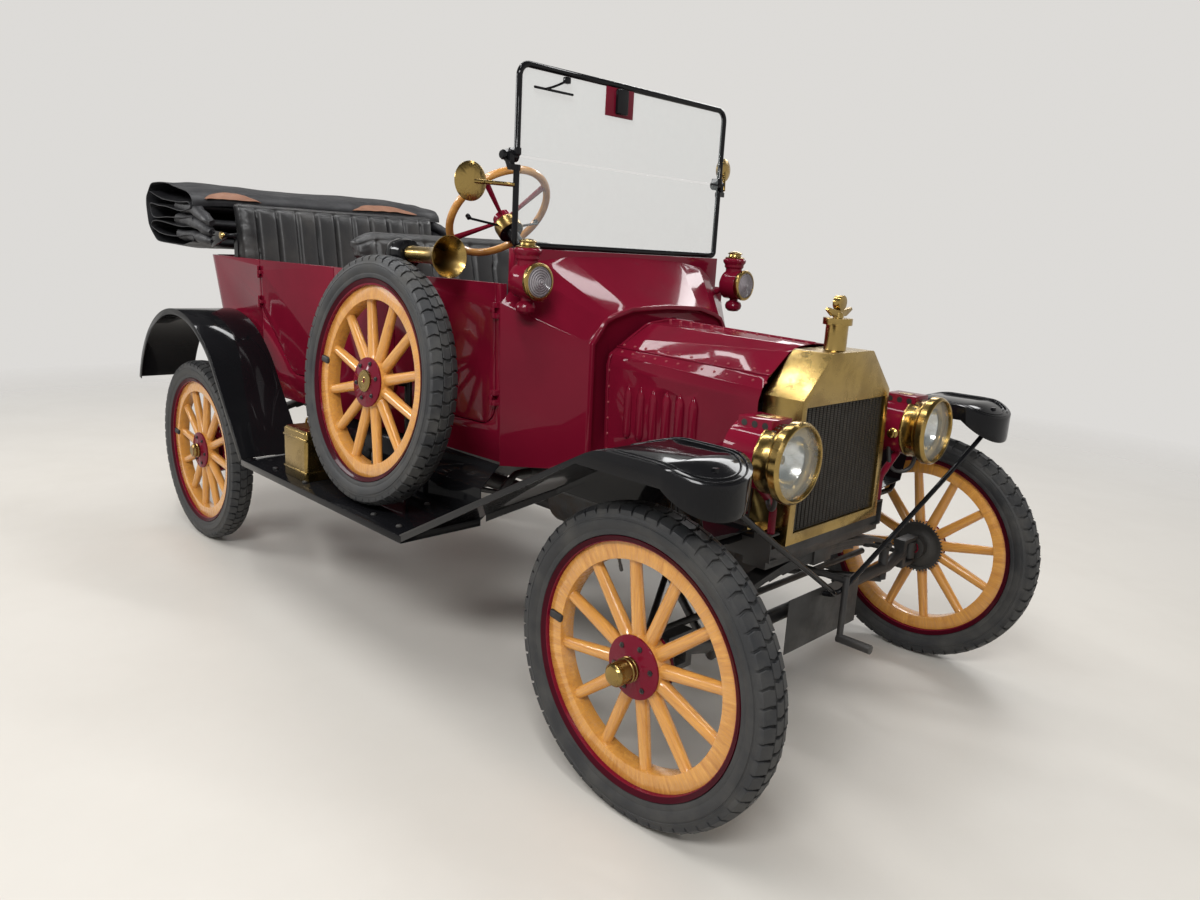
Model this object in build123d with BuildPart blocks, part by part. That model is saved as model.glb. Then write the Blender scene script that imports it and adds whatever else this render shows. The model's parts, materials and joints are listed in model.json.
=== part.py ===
from build123d import *
from math import cos, radians, sin
import os

# An open touring car of about 1915 with a brass radiator, wood wheels and its hood folded.
# Millimetres. +X is forward, +Y is the car's left, +Z is up, z = 0 is the ground.
# Fore-and-aft places are given as distances from the front axle or the rear axle.

# Wheels and axles
wheelbase = 2540.0
track = 1422.0
wheel_radius = 381.0
tyre_half_width = 46.0
rim_radius = 305.0
rim_thickness = 12.0
rim_half_width = 32.0
felloe_depth = 42.0
felloe_half_width = 22.0
spoke_count = 12
spoke_hub_radius = 18.0
spoke_end_radius = 14.0
hub_wood_radius = 74.0
hub_flange_radius = 76.0
hub_flange_thickness = 6.0
hub_barrel_radius = 36.0
hub_barrel_inboard = 62.0
front_cap_reach = 96.0
rear_cap_reach = 62.0
cap_radius = 27.0
spindle_radius = 15.0
brake_drum_radius = 102.0
brake_drum_width = 40.0

# Running gaps
seat_gap = 0.3
pin_gap = 0.3
panel_gap = 5.0
hinge_gap = 0.8

# Overall places
hood_rear_behind = 3280.0
front_axle_x = (hood_rear_behind - wheel_radius) / 2
rear_axle_x = front_axle_x - wheelbase
wheel_y = track / 2

# Chassis frame
rail_half_width = 292.0
rail_flange = 38.0
rail_web = 5.0
rail_bottom = 545.0
rail_height = 76.0
rail_top = rail_bottom + rail_height
rail_overhang = 45.0
cross_member_depth = 50.0
cross_member_width = 70.0
front_cross_drop = 20.0
rear_cross_rise = 28.0
carrier_hole_radius = 5.5
carrier_hole_spacing = 160.0

# Springs
leaf_count = 6
leaf_thickness = 6.0
front_leaf_width = 50.0
rear_leaf_width = 56.0
front_spring_half = 430.0
rear_spring_half = 545.0
front_spring_drop = 70.0
rear_spring_drop = 130.0

# Front axle, knuckles and steering linkage
kingpin_y = 621.0
kingpin_radius = 8.0
axle_beam_height = 38.0
axle_beam_width = 34.0
axle_beam_drop = 26.0
knuckle_boss_radius = 19.0
knuckle_boss_height = 56.0
yoke_arm_thickness = 14.0
yoke_reach = 15.0
steering_arm_length = 140.0
steering_arm_toe = 24.0
arm_thickness = 16.0
tie_rod_radius = 10.0
tie_rod_lift = 12.0
perch_radius = 15.0
wishbone_radius = 12.0
wishbone_drop = 62.0
wishbone_length = 560.0
drag_link_gap = 26.0

# Engine block, pan and gearbox cover
engine_half_width = 125.0
engine_front_behind = 195.0
engine_length = 395.0
engine_top = 905.0
pan_half_width = 100.0
pan_bottom = 330.0
pan_length = 825.0
pan_top = 560.0
engine_arm_behind = 560.0
torque_tube_radius = 32.0
crank_z = 450.0
crank_ahead = 112.0
crank_throw = 170.0
crank_grip = 96.0
crank_radius = 9.0
differential_radius = 128.0
axle_housing_radius = 34.0

# Radiator
radiator_ahead = 55.0
radiator_depth = 120.0
radiator_bottom = 583.0
radiator_bottom_half = 239.0
header_corner_half = 223.0
header_corner_z = 963.0
header_top_half = 105.0
header_top_z = 1077.0
radiator_frame = 30.0
core_recess = 8.0
core_top = 944.0
core_tube_count = 22
core_groove = 5.0
neck_radius = 30.0
neck_top = 1145.0
filler_cap_top = 1162.0
ornament_top = 1222.0
gauge_radius = 20.0
wing_half = 62.0
wing_thickness = 10.0

# Bonnet
bonnet_sheet = 2.5
bonnet_rear_behind = 594.0
bonnet_bottom = 641.0
bonnet_rod_radius = 4.0
side_hinge_radius = 3.5
bonnet_rear_top = 1104.0
bonnet_front_top = 1087.0
bonnet_side_hinge_rear = (231.0, 1026.0)
bonnet_side_hinge_front = (199.0, 1009.0)
louvre_count = 6
louvre_pitch = 47.0
louvre_first_behind = 505.0
louvre_bottom = 768.0
louvre_height = 153.0
louvre_width = 20.0

# Cowl and screen board
cowl_front_behind = 612.0
cowl_rear_behind = 795.0
cowl_wall = 8.0
cowl_lip = 12.0
cowl_lip_width = 13.0
cowl_bottom = 645.0
dash_thickness = 14.0
screen_board_thickness = 22.0
screen_board_top = 1297.0
screen_board_half = 476.0

# Body
body_wall = 22.0
body_top = 1195.0
body_waist = 750.0
body_bottom = 655.0
floor_thickness = 12.0
body_tuck = 40.0
body_front_half = 520.0
body_mid_half = 562.0
body_quarter_half = 590.0
body_tail_half = 575.0
body_mid_behind = 1670.0
body_quarter_behind = 2230.0
body_tail_behind = 2870.0
body_tail_rake = 140.0
tail_corner_radius = 185.0
door_bottom = 770.0
door_corner = 70.0
front_door_front_behind = 813.0
front_door_rear_behind = 1330.0
rear_door_front_behind = 1685.0
rear_door_rear_behind = 2230.0
door_hinge_stand = 7.0
door_hinge_radius = 5.0
door_hinge_length = 46.0

# Seats
seat_board = 15.0
cushion_bottom = 840.0
front_cushion_top = 950.0
rear_cushion_top = 955.0
front_back_top = 1350.0
rear_back_top = 1440.0
front_seat_front_behind = 1290.0
front_seat_rear_behind = 1650.0
front_back_rake = 75.0
front_back_depth = 88.0
rear_seat_front_behind = 2300.0
rear_seat_rear_behind = 2665.0
rear_back_rake = 60.0
rear_back_depth = 100.0
seat_side_gap = 6.0

# Folded hood
hood_front_behind = 2630.0
hood_half_width = 640.0
hood_arm_thickness = 62.0
hood_low = 1212.0
hood_high = 1505.0
iron_pivot_behind = 2480.0
iron_half_width = 11.0
iron_thickness = 6.0

# Fenders and running boards
fender_outer = 838.0
front_fender_inner = 575.0
rear_fender_inner = 604.0
fender_sheet = 3.0
fender_lip = 24.0
front_fender_crown = 895.0
front_fender_nose_ahead = 325.0
front_fender_nose_z = 858.0
front_fender_nose_round = 125.0
front_fender_nose_skirt = 78.0
front_fender_crown_skirt = 46.0
valance_shelf_y = 500.0
valance_shelf_z = 640.0
valance_rear_behind = 540.0
valance_front_ahead = 10.0
front_fender_knee_behind = 60.0
front_fender_level_ahead = 200.0
rear_fender_top = 985.0
board_top = 490.0
board_thickness = 22.0
board_inner = 560.0
board_front_behind = 813.0
board_rear_ahead = 660.0
apron_thickness = 3.0
board_iron_radius = 11.0
fender_iron_radius = 9.0

# Windscreen
screen_tube = 9.0
screen_half = 465.0
screen_middle = 1552.0
screen_top = 1800.0
screen_corner = 36.0
glass_thickness = 5.0
screen_hinge_radius = 17.0
screen_hinge_length = 16.0

# Steering wheel and column
steering_y = -190.0
steering_behind = 1231.0
steering_z = 1410.0
steering_rake = 41.7
steering_rim_radius = 184.0
steering_rim_section = 13.0
column_radius = 19.0
column_length = 1300.0
gear_case_radius = 42.0
gear_case_length = 46.0
lever_radius = 4.0
lever_drop = 12.0
lever_reach = 92.0
lever_rise = 22.0
pitman_radius = 7.0
pitman_boss = 20.0

# Lamps, horn, can and mirrors
headlamp_ahead = 141.0
headlamp_y = 365.0
headlamp_z = 840.0
headlamp_lens = 89.0
headlamp_rim = 100.0
headlamp_drum = 84.0
headlamp_length = 180.0
lens_thickness = 6.0
side_lamp_behind = 669.0
side_lamp_y = 484.0
side_lamp_z = 1208.0
side_lamp_lens = 44.0
side_lamp_rim = 53.0
side_lamp_drum = 50.0
side_lamp_length = 90.0
font_radius = 30.0
lamp_arm_gap = 1.0
horn_y = -612.0
horn_z = 1262.0
horn_mouth_behind = 918.0
horn_mouth_radius = 61.0
horn_length = 200.0
horn_motor_radius = 44.0
horn_motor_length = 90.0
can_front_behind = 1463.0
can_length = 162.0
can_width = 150.0
can_height = 172.0
mirror_radius = 54.0
mirror_z = 1472.0
mirror_out = 134.0

# Spare wheel
spare_behind = 1143.0
spare_lean = 5.6
spare_y = -723.0


def behind(distance):
    return front_axle_x - distance


def save(part, name):
    part.label = name
    export_step(part, f"parts/{name}.step")


def block(x_low, x_high, y_low, y_high, z_low, z_high, mode=Mode.ADD):
    # a plain board or lug between its corner planes
    with Locations((x_low, y_low, z_low)):
        Box(x_high - x_low, y_high - y_low, z_high - z_low, align=(Align.MIN,) * 3, mode=mode)


def rod(start, end, radius, mode=Mode.ADD):
    # a straight round bar
    run = Vector(*end) - Vector(*start)
    with BuildSketch(Plane(start, z_dir=run)) as round_section:
        Circle(radius)
    extrude(round_section.sketch, amount=run.length, mode=mode)


def bent_rod(points, radius, bend):
    # a round bar along straight runs joined by bends
    with BuildLine() as route:
        FilletPolyline(*points, radius=bend)
    with BuildSketch(Plane(route.line @ 0, z_dir=route.line % 0)) as round_section:
        Circle(radius)
    sweep(round_section.sketch, route.line)


def side_plate(points, y_low, y_high, mode=Mode.ADD):
    # a plate cut to an outline in the side view, points are (x, z)
    with BuildSketch(Plane.XZ.offset(-y_high)) as outline:
        with BuildLine():
            Polyline(*points, close=True)
        make_face()
    extrude(outline.sketch, amount=y_high - y_low, mode=mode)


def turned(points, plane, mode=Mode.ADD):
    # a ring or disc turned about the plane's y axis, points are (radius, outward)
    with BuildSketch(plane) as section:
        with BuildLine():
            Polyline(*points, close=True)
        make_face()
    revolve(section.sketch, axis=Axis(plane.origin, plane.y_dir), mode=mode)


def wheel_plane(centre, outward, upward=(0, 0, 1)):
    # local x is radial and up, local y is along the axle and outward
    return Plane(centre, x_dir=upward, z_dir=Vector(*upward).cross(Vector(*outward)))


# Wheel sections, as (radius, outward)
bead_radius = rim_radius + seat_gap
tyre_section = [
    (bead_radius, rim_half_width - 6),
    (bead_radius + 8, rim_half_width + 6),
    (bead_radius + 32, tyre_half_width),
    (wheel_radius - 20, tyre_half_width - 3),
    (wheel_radius, tyre_half_width - 20),
    (wheel_radius, 20 - tyre_half_width),
    (wheel_radius - 20, 3 - tyre_half_width),
    (bead_radius + 32, -tyre_half_width),
    (bead_radius + 8, -rim_half_width - 6),
    (bead_radius, 6 - rim_half_width),
]
felloe_outer = rim_radius - rim_thickness
felloe_inner = felloe_outer - felloe_depth


def make_tyre(name, plane):
    with BuildPart() as tyre:
        turned(tyre_section, plane)
    save(tyre.part, name)


def make_wood_wheel(name, plane):
    axis = Axis(plane.origin, plane.y_dir)
    with BuildPart() as spoke:
        with BuildSketch(Plane(plane.origin + plane.x_dir * hub_barrel_radius * 1.3, z_dir=plane.x_dir)):
            Circle(spoke_hub_radius)
        with BuildSketch(Plane(plane.origin + plane.x_dir * (felloe_inner + 6), z_dir=plane.x_dir)):
            Circle(spoke_end_radius)
        loft()
    with BuildPart() as wood:
        felloe = [
            (felloe_inner, -felloe_half_width),
            (felloe_outer, -felloe_half_width),
            (felloe_outer, felloe_half_width),
            (felloe_inner, felloe_half_width),
        ]
        turned(felloe, plane)
        for number in range(spoke_count):
            add(spoke.part.rotate(axis, number * 360 / spoke_count))
        hub_wood = [
            (hub_barrel_radius + seat_gap, -felloe_half_width),
            (hub_wood_radius, -felloe_half_width),
            (hub_wood_radius, felloe_half_width),
            (hub_barrel_radius + seat_gap, felloe_half_width),
        ]
        turned(hub_wood, plane)
        bore = [
            (0, -wheel_radius),
            (hub_barrel_radius + seat_gap, -wheel_radius),
            (hub_barrel_radius + seat_gap, wheel_radius),
            (0, wheel_radius),
        ]
        turned(bore, plane, Mode.SUBTRACT)
    save(wood.part, name)


def make_wheel_metal(name, plane, cap_reach, bore_radius, drum_radius=0.0):
    flange_in = felloe_half_width + seat_gap
    flange_out = flange_in + hub_flange_thickness
    with BuildPart() as metal:
        band = [
            (felloe_outer + seat_gap, -rim_half_width),
            (rim_radius, -rim_half_width),
            (rim_radius, rim_half_width),
            (felloe_outer + seat_gap, rim_half_width),
        ]
        turned(band, plane)
        hub = [
            (0, -hub_barrel_inboard),
            (hub_barrel_radius, -hub_barrel_inboard),
            (hub_barrel_radius, flange_in),
            (hub_flange_radius, flange_in),
            (hub_flange_radius, flange_out),
            (hub_barrel_radius, flange_out + 3),
            (cap_radius, flange_out + 8),
            (cap_radius, cap_reach - 8),
            (cap_radius - 7, cap_reach),
            (0, cap_reach),
        ]
        turned(hub, plane)
        inner_flange = [
            (hub_barrel_radius - 2, -flange_out),
            (hub_flange_radius, -flange_out),
            (hub_flange_radius, -flange_in),
            (hub_barrel_radius - 2, -flange_in),
        ]
        turned(inner_flange, plane)
        if drum_radius > 0:
            drum = [
                (hub_barrel_radius - 2, -hub_barrel_inboard),
                (drum_radius, -hub_barrel_inboard),
                (drum_radius, brake_drum_width - hub_barrel_inboard - 8),
                (drum_radius - 6, brake_drum_width - hub_barrel_inboard - 8),
                (drum_radius - 6, 6 - hub_barrel_inboard),
                (hub_barrel_radius - 2, 6 - hub_barrel_inboard),
            ]
            turned(drum, plane)
        if bore_radius > 0:
            bore = [
                (0, -wheel_radius),
                (bore_radius, -wheel_radius),
                (bore_radius, flange_out),
                (0, flange_out),
            ]
            turned(bore, plane, Mode.SUBTRACT)
    save(metal.part, name)


os.makedirs("parts", exist_ok=True)

# Road wheels: name, axle place, side, cap reach
bore_size = spindle_radius + pin_gap
road_wheels = [
    ("front_right", front_axle_x, -1, front_cap_reach, 0.0),
    ("front_left", front_axle_x, 1, front_cap_reach, 0.0),
    ("rear_right", rear_axle_x, -1, rear_cap_reach, brake_drum_radius),
    ("rear_left", rear_axle_x, 1, rear_cap_reach, brake_drum_radius),
]
for corner, axle_x, side, cap_reach, drum_radius in road_wheels:
    plane = wheel_plane((axle_x, side * wheel_y, wheel_radius), (0, side, 0))
    make_tyre(f"tyre_{corner}", plane)
    make_wood_wheel(f"spokes_{corner}", plane)
    make_wheel_metal(f"rim_hub_{corner}", plane, cap_reach, bore_size, drum_radius)

# Spare wheel, leaning inward at the top, standing on the right running board
lean = radians(spare_lean)
spare_drop = max(radius * cos(lean) + abs(outward) * sin(lean) for radius, outward in tyre_section)
spare_z = board_top + seat_gap + spare_drop
spare_centre = (behind(spare_behind), spare_y, spare_z)
spare_out = (0, -cos(lean), sin(lean))
spare_up = (0, sin(lean), cos(lean))
spare_plane = wheel_plane(spare_centre, spare_out, spare_up)
make_tyre("spare_tyre", spare_plane)
make_wood_wheel("spare_spokes", spare_plane)
make_wheel_metal("spare_rim_hub", spare_plane, felloe_half_width + 16, bore_size)

# Chassis frame: two channel rails, two cross members, brackets for boards and fenders
frame_front = front_axle_x + rail_overhang
frame_rear = rear_axle_x + cross_member_width / 2 - rail_web
front_cross_low = rail_bottom - front_cross_drop
rear_cross_high = rail_top + rear_cross_rise
rail_inner = rail_half_width - rail_flange
board_iron_places = [behind(board_front_behind + 90), rear_axle_x + board_rear_ahead + 90]
board_bottom = board_top - board_thickness
with BuildPart() as frame:
    with BuildSketch(Plane.YZ.offset(frame_rear)) as channel:
        with BuildLine():
            Polyline(
                (rail_inner, rail_bottom),
                (rail_half_width, rail_bottom),
                (rail_half_width, rail_top),
                (rail_inner, rail_top),
                (rail_inner, rail_top - rail_web),
                (rail_half_width - rail_web, rail_top - rail_web),
                (rail_half_width - rail_web, rail_bottom + rail_web),
                (rail_inner, rail_bottom + rail_web),
                close=True,
            )
        make_face()
        mirror(about=Plane.YZ)
    extrude(channel.sketch, amount=frame_front - frame_rear)
    rear_cross_low = rear_cross_high - cross_member_depth
    for cross_x, low in ((front_axle_x, front_cross_low), (rear_axle_x, rear_cross_low)):
        half = cross_member_width / 2
        high = low + cross_member_depth
        block(cross_x - half, cross_x + half, -rail_half_width, rail_half_width, low, high)
        hollow = half - rail_web
        end = rail_half_width - rail_web
        block(cross_x - hollow, cross_x + hollow, -end, end, low, high - rail_web, Mode.SUBTRACT)
    for iron_x in board_iron_places:
        for side in (-1, 1):
            iron_low = board_bottom - board_iron_radius - seat_gap
            route = [
                (iron_x, side * (rail_half_width - 2), rail_bottom + rail_height / 2),
                (iron_x, side * (rail_half_width + 60), rail_bottom + rail_height / 2),
                (iron_x, side * (board_inner - 60), iron_low),
                (iron_x, side * (fender_outer - 70), iron_low),
            ]
            bent_rod(route, board_iron_radius, 40)
    with BuildSketch(Plane.YZ.offset(rear_axle_x - cross_member_width)) as holes:
        with Locations((0, rear_cross_high - cross_member_depth / 2)):
            with GridLocations(carrier_hole_spacing, 1, 2, 1):
                Circle(carrier_hole_radius)
    extrude(holes.sketch, amount=cross_member_width, mode=Mode.SUBTRACT)
save(frame.part, "frame")

# Leaf springs across the car
spring_table = [
    (front_axle_x, front_leaf_width, front_spring_half, front_spring_drop, front_cross_low),
    (rear_axle_x, rear_leaf_width, rear_spring_half, rear_spring_drop, rear_cross_high - cross_member_depth),
]
leaf_height = leaf_thickness - seat_gap
with BuildPart() as springs:
    for spring_x, leaf_width, half_span, drop, seat_z in spring_table:
        for leaf in range(leaf_count):
            share = 1 - leaf / (leaf_count + 1)
            reach = half_span * share
            top = seat_z - seat_gap - leaf * leaf_thickness
            fall = drop * share * share
            with BuildSketch(Plane.YZ.offset(spring_x - leaf_width / 2)) as leaf_section:
                with BuildLine():
                    ThreePointArc((-reach, top - fall), (0, top), (reach, top - fall))
                    Line((reach, top - fall), (reach, top - fall - leaf_height))
                    ThreePointArc(
                        (reach, top - fall - leaf_height),
                        (0, top - leaf_height),
                        (-reach, top - fall - leaf_height),
                    )
                    Line((-reach, top - fall - leaf_height), (-reach, top - fall))
                make_face()
            extrude(leaf_section.sketch, amount=leaf_width)
        clamp = leaf_width / 2 + 6
        stack = leaf_count * leaf_thickness + 8
        block(spring_x - clamp, spring_x + clamp, -45, 45, seat_z - seat_gap - stack, seat_z - seat_gap)
save(springs.part, "springs")

# Front axle: forged beam, yokes with kingpins, spring perches and the wishbone behind it
beam_z = wheel_radius - axle_beam_drop
front_eye_z = front_cross_low - seat_gap - front_spring_drop - leaf_thickness
wishbone_z = wheel_radius - wishbone_drop
boss_low = wheel_radius - knuckle_boss_height / 2
boss_high = wheel_radius + knuckle_boss_height / 2
with BuildPart() as front_axle:
    for side in (-1, 1):
        yoke_inner = side * (kingpin_y - knuckle_boss_radius - 34)
        route_end = side * (kingpin_y - 150)
        rod((front_axle_x, 0, beam_z), (front_axle_x, route_end, beam_z), axle_beam_height / 2)
        rod((front_axle_x, route_end, beam_z), (front_axle_x, yoke_inner, wheel_radius), axle_beam_height / 2)
        block(
            front_axle_x - axle_beam_width / 2,
            front_axle_x + axle_beam_width / 2,
            min(yoke_inner, yoke_inner - side * 22),
            max(yoke_inner, yoke_inner - side * 22),
            boss_low - panel_gap - yoke_arm_thickness,
            boss_high + panel_gap + yoke_arm_thickness,
        )
        for arm_low in (boss_low - panel_gap - yoke_arm_thickness, boss_high + panel_gap):
            arm_end = side * (kingpin_y + yoke_reach)
            block(
                front_axle_x - axle_beam_width / 2,
                front_axle_x + axle_beam_width / 2,
                min(yoke_inner, arm_end),
                max(yoke_inner, arm_end),
                arm_low,
                arm_low + yoke_arm_thickness,
            )
        pin = (front_axle_x, side * kingpin_y)
        rod((*pin, boss_low - panel_gap - 4), (*pin, boss_high + panel_gap + 4), kingpin_radius)
        perch_y = side * (front_spring_half + 12)
        rod((front_axle_x, perch_y, wishbone_z), (front_axle_x, perch_y, front_eye_z - 10), perch_radius)
        rod(
            (front_axle_x - front_leaf_width / 2, perch_y - side * 12, front_eye_z - 10),
            (front_axle_x + front_leaf_width / 2, perch_y - side * 12, front_eye_z - 10),
            10 - seat_gap,
        )
        rod(
            (front_axle_x, perch_y, wishbone_z),
            (behind(wishbone_length), 0, pan_bottom - wishbone_radius - seat_gap),
            wishbone_radius,
        )
save(front_axle.part, "front_axle")

# Knuckles, with the spindle outward and the steering arm back to the tie rod
tie_rod_z = wheel_radius - knuckle_boss_height / 2 + tie_rod_lift
arm_end_x = front_axle_x - steering_arm_length
arm_end_y = kingpin_y - steering_arm_toe
for hand, side in (("right", -1), ("left", 1)):
    pin = (front_axle_x, side * kingpin_y)
    arm_eye = (arm_end_x, side * arm_end_y)
    with BuildPart() as knuckle:
        rod((*pin, boss_low), (*pin, boss_high), knuckle_boss_radius)
        rod(
            (front_axle_x, side * (kingpin_y + 4), wheel_radius),
            (front_axle_x, side * (wheel_y + felloe_half_width), wheel_radius),
            spindle_radius,
        )
        rod((*pin, tie_rod_z), (*arm_eye, tie_rod_z), arm_thickness / 2)
        rod((*arm_eye, tie_rod_z - 8), (*arm_eye, tie_rod_z + 8), 14)
        rod((*pin, boss_low), (*pin, boss_high), kingpin_radius + pin_gap, Mode.SUBTRACT)
        rod((*arm_eye, tie_rod_z - 20), (*arm_eye, tie_rod_z + 20), 6 + pin_gap, Mode.SUBTRACT)
    save(knuckle.part, f"knuckle_{hand}")

# Tie rod under the arms' eyes, with pins up through them, and the drag link to the pitman arm
column_forward = Vector(cos(radians(steering_rake)), 0, -sin(radians(steering_rake)))
column_top = Vector(behind(steering_behind), steering_y, steering_z)
column_foot = column_top + column_forward * column_length
pitman_down = Vector(-sin(radians(steering_rake)), 0, -cos(radians(steering_rake)))
pitman_tip = column_foot + pitman_down * steering_arm_length
rod_z = tie_rod_z - 8 - pin_gap - tie_rod_radius
link_side_y = 60 - arm_end_y
with BuildPart() as tie_rod:
    rod((arm_end_x, -arm_end_y - 14, rod_z), (arm_end_x, arm_end_y - 30, rod_z), tie_rod_radius)
    rod((arm_end_x, -arm_end_y, rod_z), (arm_end_x, -arm_end_y, tie_rod_z + 12), 6)
    link_start = Vector(arm_end_x, link_side_y, rod_z)
    link_run = pitman_tip - link_start
    link_end = link_start + link_run.normalized() * (link_run.length - drag_link_gap)
    rod(tuple(link_start), tuple(link_end), tie_rod_radius - 1)
save(tie_rod.part, "tie_rod")

with BuildPart() as pitman_arm:
    rod(tuple(column_foot - column_forward * 2), tuple(column_foot + column_forward * 16), pitman_boss)
    rod(tuple(column_foot + column_forward * 7), tuple(pitman_tip + column_forward * 7), pitman_radius)
    rod(tuple(pitman_tip - column_forward * 6), tuple(pitman_tip + column_forward * 16), 13)
save(pitman_arm.part, "pitman_arm")

# Rear axle: housing tubes, differential, torque tube and radius rods
drum_back = wheel_y - hub_barrel_inboard - panel_gap
torque_front_x = behind(engine_front_behind + pan_length) - seat_gap
with BuildPart() as rear_axle:
    housing = wheel_plane((rear_axle_x, 0, wheel_radius), (0, 1, 0))
    carrier = [
        (0, -drum_back),
        (axle_housing_radius, -drum_back),
        (axle_housing_radius, -170),
        (differential_radius * 0.8, -80),
        (differential_radius, -30),
        (differential_radius, 30),
        (differential_radius * 0.8, 80),
        (axle_housing_radius, 170),
        (axle_housing_radius, drum_back),
        (0, drum_back),
    ]
    turned(carrier, housing)
    for side in (-1, 1):
        rod(
            (rear_axle_x, side * (drum_back - 2), wheel_radius),
            (rear_axle_x, side * (wheel_y + felloe_half_width), wheel_radius),
            spindle_radius,
        )
        eye_y = side * (rear_spring_half + 4)
        eye_z = rear_cross_high - cross_member_depth - rear_spring_drop - leaf_thickness - 14
        rod((rear_axle_x, eye_y, wheel_radius), (rear_axle_x, eye_y, eye_z + 4), perch_radius + 3)
        rod(
            (rear_axle_x - rear_leaf_width / 2, eye_y, eye_z + 3),
            (rear_axle_x + rear_leaf_width / 2, eye_y, eye_z + 3),
            10,
        )
        rod(
            (rear_axle_x, side * (drum_back - 60), wheel_radius),
            (torque_front_x - 60, 0, wheel_radius),
            10,
        )
    rod((rear_axle_x, 0, wheel_radius), (torque_front_x, 0, wheel_radius), torque_tube_radius)
save(rear_axle.part, "rear_axle")

# Engine: plain block on its pan, with two arms out to the rails
engine_front = behind(engine_front_behind)
engine_rear = engine_front - engine_length
pan_rear = engine_front - pan_length
with BuildPart() as engine:
    with BuildSketch(Plane.YZ.offset(pan_rear)) as pan_section:
        with BuildLine():
            Line((pan_half_width, pan_top), (-pan_half_width, pan_top))
            Line((-pan_half_width, pan_top), (-pan_half_width, pan_bottom + pan_half_width))
            ThreePointArc(
                (-pan_half_width, pan_bottom + pan_half_width),
                (0, pan_bottom),
                (pan_half_width, pan_bottom + pan_half_width),
            )
            Line((pan_half_width, pan_bottom + pan_half_width), (pan_half_width, pan_top))
        make_face()
    extrude(pan_section.sketch, amount=pan_length)
    block(engine_rear, engine_front, -engine_half_width, engine_half_width, pan_top - 40, engine_top)
    arm_x = behind(engine_arm_behind)
    arm_half = rail_half_width - 4
    block(arm_x - 30, arm_x + 30, -arm_half, arm_half, rail_top + seat_gap, rail_top + 10)
    block(arm_x - 30, arm_x + 30, -100, 100, pan_top - 10, rail_top + 10)
save(engine.part, "engine")

# Starting crank, hanging in front of the axle
crank_elbow_x = front_axle_x + crank_ahead
with BuildPart() as crank:
    rod((engine_front + seat_gap, 0, crank_z), (crank_elbow_x, 0, crank_z), crank_radius)
    rod((engine_front + seat_gap, 0, crank_z), (engine_front + 40, 0, crank_z), crank_radius + 12)
    rod((crank_elbow_x, 0, crank_z + 14), (crank_elbow_x, 0, crank_z - crank_throw), crank_radius)
    rod(
        (crank_elbow_x - 6, 0, crank_z - crank_throw),
        (crank_elbow_x + crank_grip, 0, crank_z - crank_throw),
        crank_radius + 4,
    )
save(crank.part, "crank")

# Exhaust: down pipe from the block, back along the left side to a silencer
exhaust_y = 170.0
exhaust_z = 470.0
silencer_radius = 62.0
silencer_length = 420.0
silencer_front = pan_rear - 90
with BuildPart() as exhaust:
    route = [
        (engine_rear + 120, engine_half_width + seat_gap, engine_top - 140),
        (engine_rear + 120, exhaust_y, engine_top - 140),
        (engine_rear + 60, exhaust_y, exhaust_z),
        (silencer_front - 5, exhaust_y, exhaust_z),
    ]
    bent_rod(route, 20, 24)
    silencer_rear = silencer_front - silencer_length
    rod((silencer_front, exhaust_y, exhaust_z), (silencer_rear, exhaust_y, exhaust_z), silencer_radius)
    rod((silencer_rear, exhaust_y, exhaust_z), (silencer_rear - 90, exhaust_y, exhaust_z), 16)
    hanger_x = silencer_front - silencer_length / 2
    block(
        hanger_x - 15,
        hanger_x + 15,
        exhaust_y + 10,
        rail_half_width - rail_web,
        rail_bottom - 6 - seat_gap,
        rail_bottom - seat_gap,
    )
    block(hanger_x - 15, hanger_x + 15, exhaust_y, exhaust_y + 20, exhaust_z, rail_bottom - seat_gap)
save(exhaust.part, "exhaust")

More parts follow.
